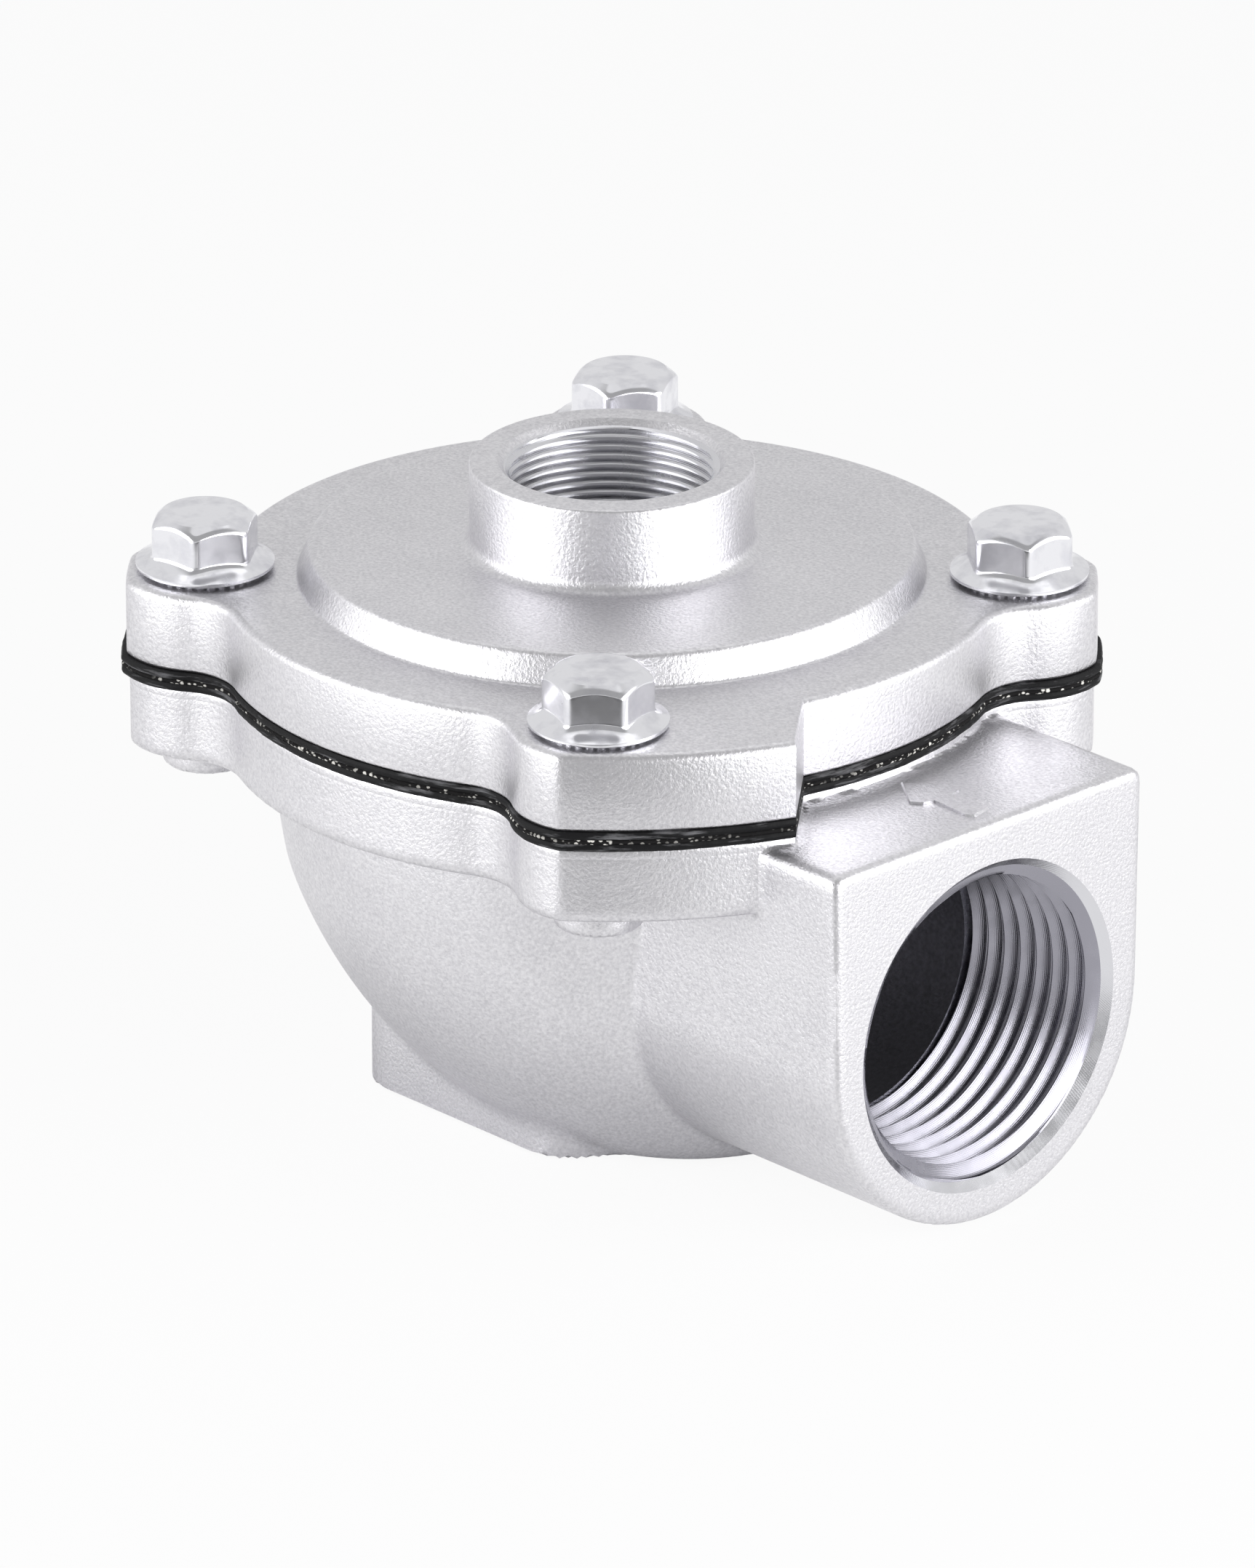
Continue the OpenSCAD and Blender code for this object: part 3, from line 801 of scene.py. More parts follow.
@dataclass
class CoverCasting:
    """The cover: a flange with ears, a raised disc and the pilot boss."""

    outline: FlangeOutline
    bottom_z: float = 46.4
    top_z: float = 54.6
    chamber_r: float = 31.0
    mouth_h: float = 2.0
    ceiling_r: float = 28.0
    ceiling_slope: Pair = (0.6, 0.5)
    spring_seat_r: float = 10.7
    spring_seat_h: float = 1.0
    passage_r: float = 8.5
    pilot_r: float = 11.0
    pilot_len: float = 9.0
    pilot_chamfer: float = 0.6
    pilot_pitch: float = 1.0
    boss_r: float = 14.5
    boss_top_z: float = 66.8
    boss_edge_r: float = 0.35
    fillet_r: float = 1.4
    disc_r: float = 32.0
    disc_top_z: float = 57.9
    disc_draft: float = 1.0
    disc_edge_r: float = 0.8
    disc_foot_r: float = 0.5
    flange_edge_r: float = 0.9
    flange_low_r: float = 0.35
    bolt_hole_r: float = 3.3
    steps: int = 720

    def section(self) -> tuple[Array, Array]:
        """The closed section: rows of radius and height, then of growth and height."""
        seat_z = self.top_z + self.spring_seat_h
        floor_z = self.boss_top_z - self.pilot_len
        edge, fillet, foot = self.boss_edge_r, self.fillet_r, self.disc_foot_r
        rim, bend = self.disc_edge_r, self.flange_edge_r
        wide, deep = self.ceiling_slope
        rim_r = self.disc_r - self.disc_draft - rim
        foot_r = self.disc_r - 0.1 + foot
        circle = np.concatenate([
            [
                (self.chamber_r, self.bottom_z), (self.chamber_r, self.bottom_z + self.mouth_h),
                (self.ceiling_r + wide, self.top_z - deep), (self.ceiling_r, self.top_z),
                (self.spring_seat_r, self.top_z), (self.spring_seat_r, seat_z),
                (self.passage_r, seat_z), (self.passage_r, floor_z), (self.pilot_r, floor_z),
                (self.pilot_r, self.boss_top_z - self.pilot_chamfer),
                (self.pilot_r + self.pilot_chamfer, self.boss_top_z),
            ],
            arc((self.boss_r - edge, self.boss_top_z - edge), edge, 90, 0, 5),
            arc((self.boss_r + fillet, self.disc_top_z + fillet), fillet, 180, 270, 8),
            arc((rim_r, self.disc_top_z - rim), rim, 90, 12, 6),
            arc((foot_r, self.top_z + foot), foot, 190, 270, 5),
        ])
        low = self.flange_low_r
        flange = np.concatenate([
            arc((-bend, self.top_z - bend), bend, 90, 0, 7),
            arc((-low, self.bottom_z + low), low, 0, -90, 4),
        ])
        return circle, flange

    def build(self, cast: Material, cut_metal: Material) -> None:
        """Carries the section round the axis and the outline, drills it and adds the thread."""
        turn = self.outline.turns(self.steps)
        circle, flange = self.section()
        rows = [*circle, *((self.outline.radius(turn, grow), z) for grow, z in flange)]
        casting = carried("cover_casting", rows, turn, [cast, cut_metal])
        drills = self.outline.drills(self.bolt_hole_r, self.bottom_z, self.top_z, cut_metal)
        dress(cut(casting, drills), Slot.CASTING, "cover")
        thread = HelicalThread(
            "pilot_thread", self.pilot_r, self.pilot_pitch, 0.6 * self.pilot_pitch,
            self.pilot_len, self.pilot_chamfer, per_pitch=10, roundness=0.985,
        ).build(cut_metal)
        place = Matrix.Translation((0, 0, self.boss_top_z * MM))
        dress(turn_piece(thread, place), Slot.CASTING)


@dataclass
class BodyCasting:
    """The body: flange, bowl, inlet block, outlet hexagon and the seat tube inside."""

    outline: FlangeOutline
    face_z: float = 44.4
    flange_t: float = 8.0
    flange_edge: float = 0.8
    step: float = 0.3
    bowl_r: float = 34.5
    bowl_lean: float = 7.76
    bowl_toe: float = 5.3
    bowl_bend: float = 0.698
    bowl_ease: float = 0.14
    bowl_power: float = 0.365
    bowl_end_z: float = -2.55
    bowl_bottom_z: float = 0.2
    bowl_edge: float = 0.6
    wall: float = 3.5
    chamber_round_r: float = 36.5
    chamber_floor_z: float = 12.0
    block_r: float = 21.025
    block_draft: float = 0.4
    block_top_z: float = 43.5
    block_start_x: float = 24.9
    block_top_edge: float = 1.5
    block_end_edge: float = 0.9
    inlet_z: float = 21.525
    inlet_x: float = 55.1
    hex_half: float = 23.025
    hex_side_half: float = 21.625
    hex_h: float = 15.0
    hex_edges: tuple[float, float, float, float] = (2.0, 3.0, 0.3, 1.0)
    ear_boss_r: float = 4.6
    ear_boss_h: float = 3.0
    ear_boss_edge: float = 0.9
    bowl_fillet: float = 2.2
    boss_fillet: float = 0.9
    hex_fillet: float = 0.8
    block_fillet: float = 0.35
    port_r: float = 16.625
    port_len: float = 19.0
    port_chamfer: float = 0.9
    port_pitch: float = 2.309
    thread_depth: float = 1.48
    seat_r: float = 13.0
    seat_land_r: float = 14.6
    seat_z: float = 41.8
    seat_cone_h: float = 2.8
    outlet_tube_r: float = 19.625
    seat_tube_r: float = 16.6
    neck_z: float = 20.5
    neck_h: float = 4.0
    bolt_hole_r: float = 3.05
    grid_low: Triple = (-51.0, -51.0, -1.3)
    grid_high: Triple = (56.5, 51.0, 46.0)
    cell: float = 0.62

    @property
    def under_z(self) -> float:
        """Height of the flange's underside."""
        return self.face_z - self.flange_t

    def flange(self, x: Array, y: Array, z: Array) -> Array:
        """Distance to the flange, a plate with rounded edges."""
        edge, half = self.flange_edge, self.flange_t / 2
        side = self.outline.distance(x, y) + self.step + edge
        tall = np.abs(z - self.face_z + half) - half + edge
        beyond = np.hypot(np.maximum(side, 0), np.maximum(tall, 0))
        return np.minimum(np.maximum(side, tall), 0) + beyond - edge

    def bowl(self, x: Array, y: Array, z: Array) -> Array:
        """Distance to the bowl, which is round at every height and leans to the inlet.

        With s the share of the way below the bend, its centre is at
        lean s^2 / (s + ease) + toe s^6. With t the share of the way down to its
        end, a little below the floor, its radius is R (1 - t^2)^power. What a
        level slice measures is divided by the length of the side's slope.
        """
        height = np.minimum(z, self.under_z)
        low = np.maximum(1 - height / (self.bowl_bend * self.under_z), 0)
        shift = self.bowl_lean * low**2 / (low + self.bowl_ease) + self.bowl_toe * low**6
        depth = self.under_z - self.bowl_end_z
        fall = np.clip((self.under_z - height) / depth, 0, 0.9995)
        radius = self.bowl_r * (1 - fall**2) ** self.bowl_power
        slope = radius * self.bowl_power * 2 * fall / (1 - fall**2) / depth
        side = (np.hypot(x - shift, y) - radius) / np.sqrt(1 + slope**2)
        return soft_max(side, self.bowl_bottom_z - z, self.bowl_edge)

    def block(self, x: Array, y: Array, z: Array) -> Array:
        """Distance to the inlet block: a U open at the top, with its face at the inlet."""
        rise = np.clip((z - self.inlet_z) / (self.block_top_z - self.inlet_z), 0, 1)
        beside = np.abs(y) - self.block_r - self.block_draft * rise
        below = np.hypot(y, z - self.inlet_z) - self.block_r
        u_side = np.where(z < self.inlet_z, below, beside)
        u_shape = soft_max(u_side, z - self.block_top_z, self.block_top_edge)
        faced = soft_max(u_shape, x - self.inlet_x, self.block_end_edge)
        return soft_max(faced, self.block_start_x - x, self.block_end_edge)

    def hexagon(self, x: Array, y: Array, z: Array) -> Array:
        """Distance to the outlet's hexagon, whose two flats along the inlet lie closer."""
        end_edge, side_edge, low_edge, top_edge = self.hex_edges
        one, two = [
            np.abs(x * math.cos(a) + y * math.sin(a)) - self.hex_half for a in np.radians([30, 150])
        ]
        side = soft_max(soft_max(one, two, end_edge), np.abs(y) - self.hex_side_half, side_edge)
        return soft_max(soft_max(side, -z, low_edge), z - self.hex_h, top_edge)

    def distance(self, x: Array, y: Array, z: Array) -> Array:
        """Distance to the whole skin, with cast fillets where its forms meet."""
        skin = soft_min(self.flange(x, y, z), self.bowl(x, y, z), self.bowl_fillet)
        boss_low_z = self.under_z - self.ear_boss_h
        for number in range(4):
            bolt_x, bolt_y = self.outline.bolt_xy(number)
            near = np.hypot(x - bolt_x, y - bolt_y) - self.ear_boss_r
            boss = soft_max(near, boss_low_z - z, self.ear_boss_edge)
            boss = soft_max(boss, z - self.face_z + 1, 0.5)
            skin = soft_min(skin, boss, self.boss_fillet)
        skin = soft_min(skin, self.hexagon(x, y, z), self.hex_fillet)
        skin = soft_min(skin, self.block(x, y, z), self.block_fillet)
        return np.maximum(np.maximum(skin, z - self.face_z), -z)

    def tools(self, raw_with_painted_shade: Material, cut_metal: Material) -> list[Object]:
        """Everything taken out of the skin: cast chamber and passage, cut bores and holes."""
        low_z = self.under_z - self.ear_boss_h
        return [
            # The chamber and passage take the darker cast finish, which also paints the shade of
            # the hollow.
            self.chamber_tool(raw_with_painted_shade), self.passage_tool(raw_with_painted_shade),
            self.outlet_tool(cut_metal), self.inlet_tool(cut_metal),
            *self.outline.drills(self.bolt_hole_r, low_z, self.face_z, cut_metal),
        ]

    def chamber_tool(self, material: Material) -> Object:
        """The ring-shaped room between the bowl's wall and the seat tube."""
        chamber_r, curve_r = self.bowl_r - self.wall, self.chamber_round_r
        low = math.degrees(math.asin((self.chamber_floor_z - self.under_z) / curve_r))
        profile = np.concatenate([
            arc((chamber_r - curve_r, self.under_z), curve_r, low, 0, 24),
            [
                (chamber_r, self.face_z + 1), (0.0, self.face_z + 1), (0.0, self.seat_z),
                (self.seat_land_r, self.seat_z), (self.seat_tube_r, self.seat_z - self.seat_cone_h),
                (self.seat_tube_r, self.neck_z + self.neck_h), (self.outlet_tube_r, self.neck_z),
                (self.outlet_tube_r, self.chamber_floor_z),
            ],
        ])
        return revolved("chamber_tool", profile, material, steps=128, closed=True)

    def passage_tool(self, material: Material) -> Object:
        """The way from the inlet to the chamber: a bar whose inner end is hollowed by the tube."""
        radius, clear = self.port_r - self.thread_depth, self.outlet_tube_r + 0.1
        turn = np.linspace(0, 2 * np.pi, 72, endpoint=False)
        share = np.linspace(0, 1, 13)[:, None]
        y, z = share * radius * np.cos(turn), self.inlet_z + share * radius * np.sin(turn)
        hollow = np.stack([np.sqrt(clear**2 - y**2), y, z], axis=-1)
        end_x = self.inlet_x - self.port_len + 0.5
        flat = np.stack([np.full_like(y, end_x), y, z], axis=-1)[::-1]
        points = np.concatenate([hollow, flat]).reshape(-1, 3)
        faces = grid_faces(2 * len(share), len(turn))
        return new_piece("passage_tool", points, faces, [material])

    def outlet_tool(self, material: Material) -> Object:
        """The outlet's bore, from its chamfered mouth up through the seat."""
        neck = self.port_len + self.port_r - self.seat_r
        top = self.seat_z + 0.3
        profile = [
            (0, -1), (self.port_r + self.port_chamfer + 1, -1), (self.port_r, self.port_chamfer),
            (self.port_r, self.port_len), (self.seat_r, neck), (self.seat_r, top), (0, top),
        ]
        return revolved("outlet_tool", profile, material, steps=128)

    def inlet_tool(self, material: Material) -> Object:
        """The inlet's threaded bore with its chamfered mouth."""
        profile = [
            (0, 1), (self.port_r + self.port_chamfer + 1, 1), (self.port_r, -self.port_chamfer),
            (self.port_r, -self.port_len), (0, -self.port_len),
        ]
        return turn_piece(revolved("inlet_tool", profile, material, steps=128), self.inlet_place())

    def inlet_place(self) -> Matrix:
        """Turns +Z to +X and moves the origin to the middle of the inlet's mouth."""
        turned = Matrix.Rotation(math.pi / 2, 4, "Y")
        return Matrix.Translation((self.inlet_x * MM, 0, self.inlet_z * MM)) @ turned

    def build(
        self, cast: Material, raw_with_painted_shade: Material, cut_metal: Material, thread_metal_with_painted_shade: Material
    ) -> None:
        """Makes the casting, the threads of its two ports, the flow arrow and the lip."""
        points, quads = surface_mesh(self.distance, self.grid_low, self.grid_high, self.cell)
        casting = new_piece("body_casting", points, quads, [cast, raw_with_painted_shade, cut_metal], sharp_deg=40)
        dress(cut(casting, self.tools(raw_with_painted_shade, cut_metal), 40), Slot.CASTING, "valve_body")
        downwards = Matrix.Rotation(math.pi, 4, "X")
        for name, place in (("inlet_thread", self.inlet_place()), ("outlet_thread", downwards)):
            thread = HelicalThread(
                name, self.port_r, self.port_pitch, self.thread_depth, self.port_len,
                self.port_chamfer,
            ).build(thread_metal_with_painted_shade)
            dress(turn_piece(thread, place), Slot.CASTING)
        dress(self.arrow(cast), Slot.CASTING)
        dress(self.lip(cast), Slot.CASTING)

    def lip(self, material: Material) -> Object:
        """The flange's upper edge, a thin ring that follows the outline under the diaphragm."""
        turn = self.outline.turns(1440)
        profile = [
            (-1.2, -1.15), (-0.02, -1.15), (0.02, -0.95), (0.02, -0.3), (-0.03, -0.12),
            (-0.15, 0.0), (-1.2, 0.0),
        ]
        rows = [(self.outline.radius(turn, out - self.step), self.face_z + z) for out, z in profile]
        return carried("flange_lip", rows, turn, [material])

    def arrow(self, material: Material) -> Object:
        """A raised flow arrow on the block: a flat outline lifted by a quarter millimetre."""
        outline = np.array([
            (41.5, 0.7), (45.9, -2.4), (47.0, -1.5), (47.3, -0.3), (52.1, -0.6), (52.9, -0.1),
            (52.4, 2.4), (47.4, 2.1), (47.1, 3.4), (46.2, 3.6),
        ])
        middle = np.array([(47.1, 0.9)])
        rings = [(0.0, -0.3), (1.0, -0.3), (1.0, 0.05), (0.965, 0.25), (0.0, 0.25)]
        points = np.concatenate([
            np.column_stack([
                middle + (outline - middle) * share, np.full(len(outline), self.block_top_z + lift)
            ])
            for share, lift in rings
        ])
        return new_piece("flow_arrow", points, grid_faces(len(rings), len(outline)), [material], 20)


@dataclass
class FlangeBolt:
    """Hexagon bolt with a serrated flange, forged, rolled and zinc plated."""

    number: int
    outline: FlangeOutline
    turn_deg: float
    seat_z: float = 54.6
    across: float = 10.0
    head_h: float = 6.0
    flange_r: float = 7.1
    rim_h: float = 0.85
    rim_edge_r: float = 0.22
    cone_h: float = 1.3
    cone_top_r: float = 4.0
    cone_fillet: float = 1.2
    top_r: float = 4.4
    top_slope_deg: float = 37.0
    top_edge: float = 0.45
    corner_round: float = 1.0
    shank_r: float = 3.0
    pitch: float = 1.0
    length: float = 20.0
    teeth: int = 32
    tooth_h: float = 0.28
    steps: int = 192

    def head_radius(self, turn: Array, height: float) -> Array:
        """Radius of the head: the hexagon a / cos f, cut by the cone that turns its corners off.

        Near a corner the radius is that of the small circle between two flats,
        m cos f + sqrt(r^2 - m^2 sin^2 f). The hexagon runs out into the
        flange's cone with a fillet.

        Args:
            turn: directions measured from a corner of the hexagon.
            height: height above the seat.

        Returns:
            One radius for each direction.
        """
        sixth, rounding = np.pi / 6, self.corner_round
        off = np.abs((turn + sixth) % (2 * sixth) - sixth)
        flat = self.across / 2 / np.cos(sixth - off)
        middle = (self.across / 2 - rounding) / math.cos(sixth)
        limit = math.atan2(rounding / 2, middle + rounding * math.cos(sixth))
        away = middle * np.sin(off)
        corner = middle * np.cos(off) + np.sqrt(np.maximum(rounding**2 - away**2, 0))
        hexagon = np.where(off < limit, corner, flat)
        slope = math.tan(math.radians(self.top_slope_deg))
        chamfer = self.top_r + (self.head_h - height) / slope
        climb = (height - self.rim_h) / self.cone_h
        cone = self.flange_r - 0.1 - (self.flange_r - self.cone_top_r) * climb
        return soft_max(soft_min(hexagon, chamfer, self.top_edge), cone, self.cone_fillet)

    def build(self, metal: Material) -> Object:
        """Carries rows of radii up the bolt, from the tip of its thread to the top of its head."""
        turn = np.linspace(0, 2 * np.pi, self.steps, endpoint=False)
        rows: list[tuple[Array | float, Array | float]] = [
            (0.0, -self.length), (self.shank_r - 0.75, -self.length)
        ]
        shank_r, under_r, edge = self.shank_r - 0.06, self.flange_r, self.rim_edge_r
        for z in np.arange(-self.length + 0.35, -2.0, self.pitch / 6):
            wave = 0.5 + 0.5 * np.cos(turn - 2 * np.pi * z / self.pitch)
            rows.append((shank_r - 0.5 * (1 - wave), z))
        tooth = self.tooth_h * (0.5 + 0.5 * np.sign(np.sin(turn * self.teeth)))
        lip = self.tooth_h + 0.08 + 0.05 * np.sin(2 * turn + self.number)
        rows += [
            (shank_r, -1.8), (shank_r, self.tooth_h), (under_r * 0.6, self.tooth_h),
            (under_r * 0.64, tooth), (under_r * 0.8, tooth), (under_r * 0.82, lip),
            *((r, lip + z) for r, z in arc((under_r - edge, edge), edge, -90, 0, 4)),
        ]
        foot = np.arange(self.rim_h, 3.2, 0.1)
        crown = np.arange(4.9, self.head_h - 0.02, 0.06)
        for z in (self.rim_h - 0.04, *foot, 3.8, 4.6, *crown):
            rows.append((self.head_radius(turn, z), z))
        rows += [
            (self.top_r - 0.02, self.head_h - 0.01), (self.top_r - 0.12, self.head_h),
            (0.0, self.head_h),
        ]
        name = f"flange_bolt_{self.number}"
        piece = carried(name, rows, turn, [metal], closed=False, sharp_deg=24)
        stand = Vector((*self.outline.bolt_xy(self.number - 1), self.seat_z)) * MM
        spin = Matrix.Rotation(math.radians(self.turn_deg), 4, "Z")
        turn_piece(piece, Matrix.Translation(stand) @ spin)
        return dress(piece, Slot.ZINC, f"cover_bolt_{self.number}")


@dataclass
class DiaphragmEdge:
    """The clamped rim: rubber, cloth and rubber, squeezed out a little between the castings."""

    outline: FlangeOutline
    low_z: float = 44.4
    rubber_t: float = 0.75
    cloth_t: float = 0.5
    side_overhang: float = 0.15
    ear_overhang: tuple[float, ...] = (0.55, 0.4, 0.55, 0.35)
    fade_deg: Pair = (8.0, 16.0)
    bulge: float = 0.16
    waves: tuple[int, ...] = (37, 83, 149, 211)
    inner_r: float = 31.0
    hole_r: float = 3.3
    steps: int = 1440

    def overhang(self, turn: Array) -> Array:
        """How far the rim stands out past the cover: more at each ear, fading beside it."""
        total = np.full_like(turn, self.side_overhang)
        near, far = np.radians(self.fade_deg)
        for number, ear in enumerate(self.ear_overhang):
            off = (turn - math.radians(45 + 90 * number) + np.pi) % (2 * np.pi) - np.pi
            share = np.clip((far - np.abs(off)) / (far - near), 0, 1)
            total += (ear - self.side_overhang) * share * share * (3 - 2 * share)
        return total

    def layer(
        self, name: str, low: float, high: float, inset: float, wobble: float, material: Material
    ) -> Object:
        """One layer: a thin ring whose edge bulges by a half wave over its thickness.

        The edge also wavers round the ring, by a sum of sines over the waves.

        Args:
            name: name of the piece.
            low: height of its underside.
            high: height of its top.
            inset: how far its edge stays back from the rim's overhang.
            wobble: how far that edge wavers.
            material: its finish.

        Returns:
            The new piece.
        """
        turn = self.outline.turns(self.steps)
        sines = [np.sin(turn * n + n * n) / k for k, n in enumerate(self.waves, start=1)]
        grow = self.overhang(turn) - inset + sum(sines) * wobble / 2
        share = np.linspace(0, 1, 6)
        bulge = self.bulge * np.sin(np.pi * share) - self.bulge
        rows = [
            (self.inner_r, low),
            *((self.outline.radius(turn, grow + b), low + (high - low) * s)
              for b, s in zip(bulge, share)),
            (self.inner_r, high),
        ]
        piece = carried(name, rows, turn, [material], sharp_deg=50)
        return cut(piece, self.outline.drills(self.hole_r, low, high, material), 50)

    def build(self, rubber: Material, cloth: Material) -> None:
        """Makes the three layers, one on the other."""
        first = self.low_z + self.rubber_t
        second = first + self.cloth_t
        top = second + self.rubber_t
        lower = self.layer("rim_rubber_lower", self.low_z, first, 0.04, 0.06, rubber)
        dress(lower, Slot.RUBBER, "diaphragm_rim_lower")
        middle = self.layer("rim_cloth", first, second, 0.08, 0.1, cloth)
        dress(middle, Slot.CLOTH, "diaphragm_fabric")
        upper = self.layer("rim_rubber_upper", second, top, 0.0, 0.06, rubber)
        dress(upper, Slot.RUBBER, "diaphragm_rim_upper")


@dataclass
class DiaphragmWeb:
    """The flexing ring of the diaphragm, between its clamped rim and its stiff centre."""

    inner_r: float = 19.55
    outer_r: float = 31.0
    inner_z: float = 42.8
    outer_z: float = 45.4
    thickness: float = 1.4
    thinning: float = 0.25

    def build(self, rubber: Material) -> Object:
        """Turns a strip whose middle falls from rim to centre as half a cosine wave."""
        share = np.linspace(0, 1, 40)
        radius = self.inner_r + (self.outer_r - self.inner_r) * share
        middle = self.inner_z + (self.outer_z - self.inner_z) * (1 - np.cos(np.pi * share)) / 2
        half = self.thickness / 2 * (1 - self.thinning * np.sin(np.pi * share))
        lower, upper = (np.stack([radius, middle + side * half], 1) for side in (-1, 1))
        profile = np.concatenate([lower, upper[::-1]])
        piece = revolved(
            "diaphragm_web_flexing", profile, rubber, steps=160, closed=True, sharp_deg=50
        )
        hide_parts("diaphragm_web")
        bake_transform(piece)
        LOG.info("%s: %d faces between the bodies", piece.name, len(piece.data.polygons))
        return piece


@dataclass
class ReturnSpring:
    """Conical return spring with flat, closed ends."""

    wire_r: float = 0.6
    bottom_r: float = 13.0
    top_r: float = 9.7
    bottom_z: float = 45.95
    top_z: float = 54.95
    turns: float = 3.0
    flat: float = 0.4
    evenness: float = 0.7
    sides: int = 16
    seat_z: float = 55.55
    kept: float = 0.36

    def build(self, steel: Material) -> Object:
        """Carries a round section along a conical helix that levels off at both ends."""
        along = np.linspace(0, self.turns, int(self.turns * 60) + 1)[:, None]
        rise = np.clip((along - self.flat) / (self.turns - 2 * self.flat), 0, 1)
        rise = rise * rise * (3 - 2 * rise) * (1 - self.evenness) + rise * self.evenness
        mean = self.bottom_r + (self.top_r - self.bottom_r) * along / self.turns
        height = self.bottom_z + (self.top_z - self.bottom_z) * rise
        section = np.linspace(0, 2 * np.pi, self.sides, endpoint=False)
        radius = mean + self.wire_r * np.cos(section)
        level = height + self.wire_r * np.sin(section)
        rings = around(radius, 2 * np.pi * along, level).reshape(len(along), self.sides, 3)
        centre = rings.mean(axis=1, keepdims=True).repeat(self.sides, 1)
        points = np.concatenate([centre[:1], rings, centre[-1:]]).reshape(-1, 3)
        faces = grid_faces(len(rings) + 2, self.sides)
        piece = new_piece("return_spring_coil", points, faces, [steel], sharp_deg=60)
        dress(piece, Slot.SPRING, "return_spring")
        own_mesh(piece)
        return piece


@dataclass
class Studio:
    """White paper, soft lamps and the camera of the photograph.

    A lamp is a name, a place in metres, a width in metres and a power in watts.
    """

    azimuth_deg: float = 46.839
    elevation_deg: float = 22.505
    roll_deg: float = -0.065
    distance_mm: float = 1595.67
    target_mm: Triple = (-20.010, 20.892, 19.182)
    lens_mm: float = 351.3
    sensor_mm: float = 36.0
    lamps: tuple[tuple[str, Triple, float, float], ...] = (
        ("key_left", (-0.42, -0.83, 0.3), 1.0, 4.6),
        ("fill_right", (0.83, 0.46, 0.3), 1.0, 5.2),
        ("low_left", (-0.05, -0.3, 0.09), 0.24, 0.3),
        ("low_right", (0.3, 0.02, 0.07), 0.24, 0.54),
        ("top", (-0.1, 0.15, 1.0), 0.9, 0.8),
    )
    aim: Triple = (0.0, 0.0, 0.03)
    floor_half: float = 1500.0
    floor_z: float = -0.05
    surround: float = 0.4
    room_way: Triple = (0.516, -0.483, 0.707)
    room_edge: Pair = (0.74, 0.4)
    mirrored_white: float = 0.64
    paper_colour: str = "#dededf"
    paper_glow: float = 0.92
    paper_gloss: Pair = (0.08, 1.0)
    unlit_spot: Triple = (0.22, -0.206, 0.0)
    unlit_reach: Pair = (0.1, 0.2)
    shaded_reach: Pair = (0.025, 0.055)
    open_gloss: float = 0.9

    def camera(self) -> None:
        """Places the camera on its ray from the target and turns it to look back along it."""
        azimuth, elevation = math.radians(self.azimuth_deg), math.radians(self.elevation_deg)
        level = math.cos(elevation)
        back = Vector((math.sin(azimuth) * level, -math.cos(azimuth) * level, math.sin(elevation)))
        data = bpy.data.cameras.new("photo_camera")
        data.sensor_width = self.sensor_mm
        data.lens = self.lens_mm
        data.clip_end = 20.0
        camera = bpy.data.objects.new("photo_camera", data)
        bpy.context.scene.collection.objects.link(camera)
        place = Matrix.Translation((Vector(self.target_mm) + back * self.distance_mm) * MM)
        facing = back.to_track_quat("Z", "Y").to_matrix().to_4x4()
        roll = Matrix.Rotation(math.radians(self.roll_deg), 4, "Z")
        camera.matrix_world = place @ facing @ roll
        bpy.context.scene.camera = camera

    def paper(self) -> Material:
        """White paper that glows where the camera or gloss sees it, and still takes the shadow.

        Gloss sees an unlit spot on it in front of the valve, as on the
        photographer's side of a tent, and the bare paper close to the valve.
        """
        material, tree, shader, place = new_material("white_paper")
        feed(shader, {"Base Color": linear(self.paper_colour), "Roughness": 0.9})
        path = add_node(tree, "LightPath").outputs
        away = add_node(tree, "VectorMath", {0: place, 1: self.unlit_spot}, operation="DISTANCE")
        lit = add_node(tree, "MapRange", {
            "Value": away, "From Min": self.unlit_reach[0], "From Max": self.unlit_reach[1],
            "To Min": self.paper_gloss[0], "To Max": self.paper_gloss[1],
        }, interpolation_type="SMOOTHSTEP")
        strength = add_node(tree, "Math", {0: path["Is Camera Ray"], 1: lit}, operation="MAXIMUM")
        middle = add_node(tree, "VectorMath", {0: place}, operation="LENGTH")
        open_floor = add_node(tree, "MapRange", {
            "Value": middle, "From Min": self.shaded_reach[0], "From Max": self.shaded_reach[1],
            "To Max": self.open_gloss,
        })
        gloss = add_node(
            tree, "Math", {0: path["Is Glossy Ray"], 1: open_floor}, operation="MULTIPLY"
        )
        share = add_node(
            tree, "Math", {0: path["Is Camera Ray"], 1: self.paper_glow, 2: gloss},
            operation="MULTIPLY_ADD",
        )
        glow = add_node(tree, "Emission", {"Color": linear("#ffffff"), "Strength": strength})
        mixed = add_node(tree, "MixShader", {0: share, 1: shader, 2: glow})
        target = next(node for node in tree.nodes if node.type == "OUTPUT_MATERIAL")
        feed(target, {"Surface": mixed})
        return material

    def floor(self) -> None:
        """A wide floor just under the valve."""
        mesh = bpy.data.meshes.new("floor")
        corner = [(-1, -1), (1, -1), (1, 1), (-1, 1)]
        points = [(a * self.floor_half * MM, b * self.floor_half * MM, self.floor_z * MM)
                  for a, b in corner]
        mesh.from_pydata(points, [], [(0, 1, 2, 3)])
        mesh.materials.append(self.paper())
        floor = bpy.data.objects.new("floor", mesh)
        bpy.context.scene.collection.objects.link(floor)

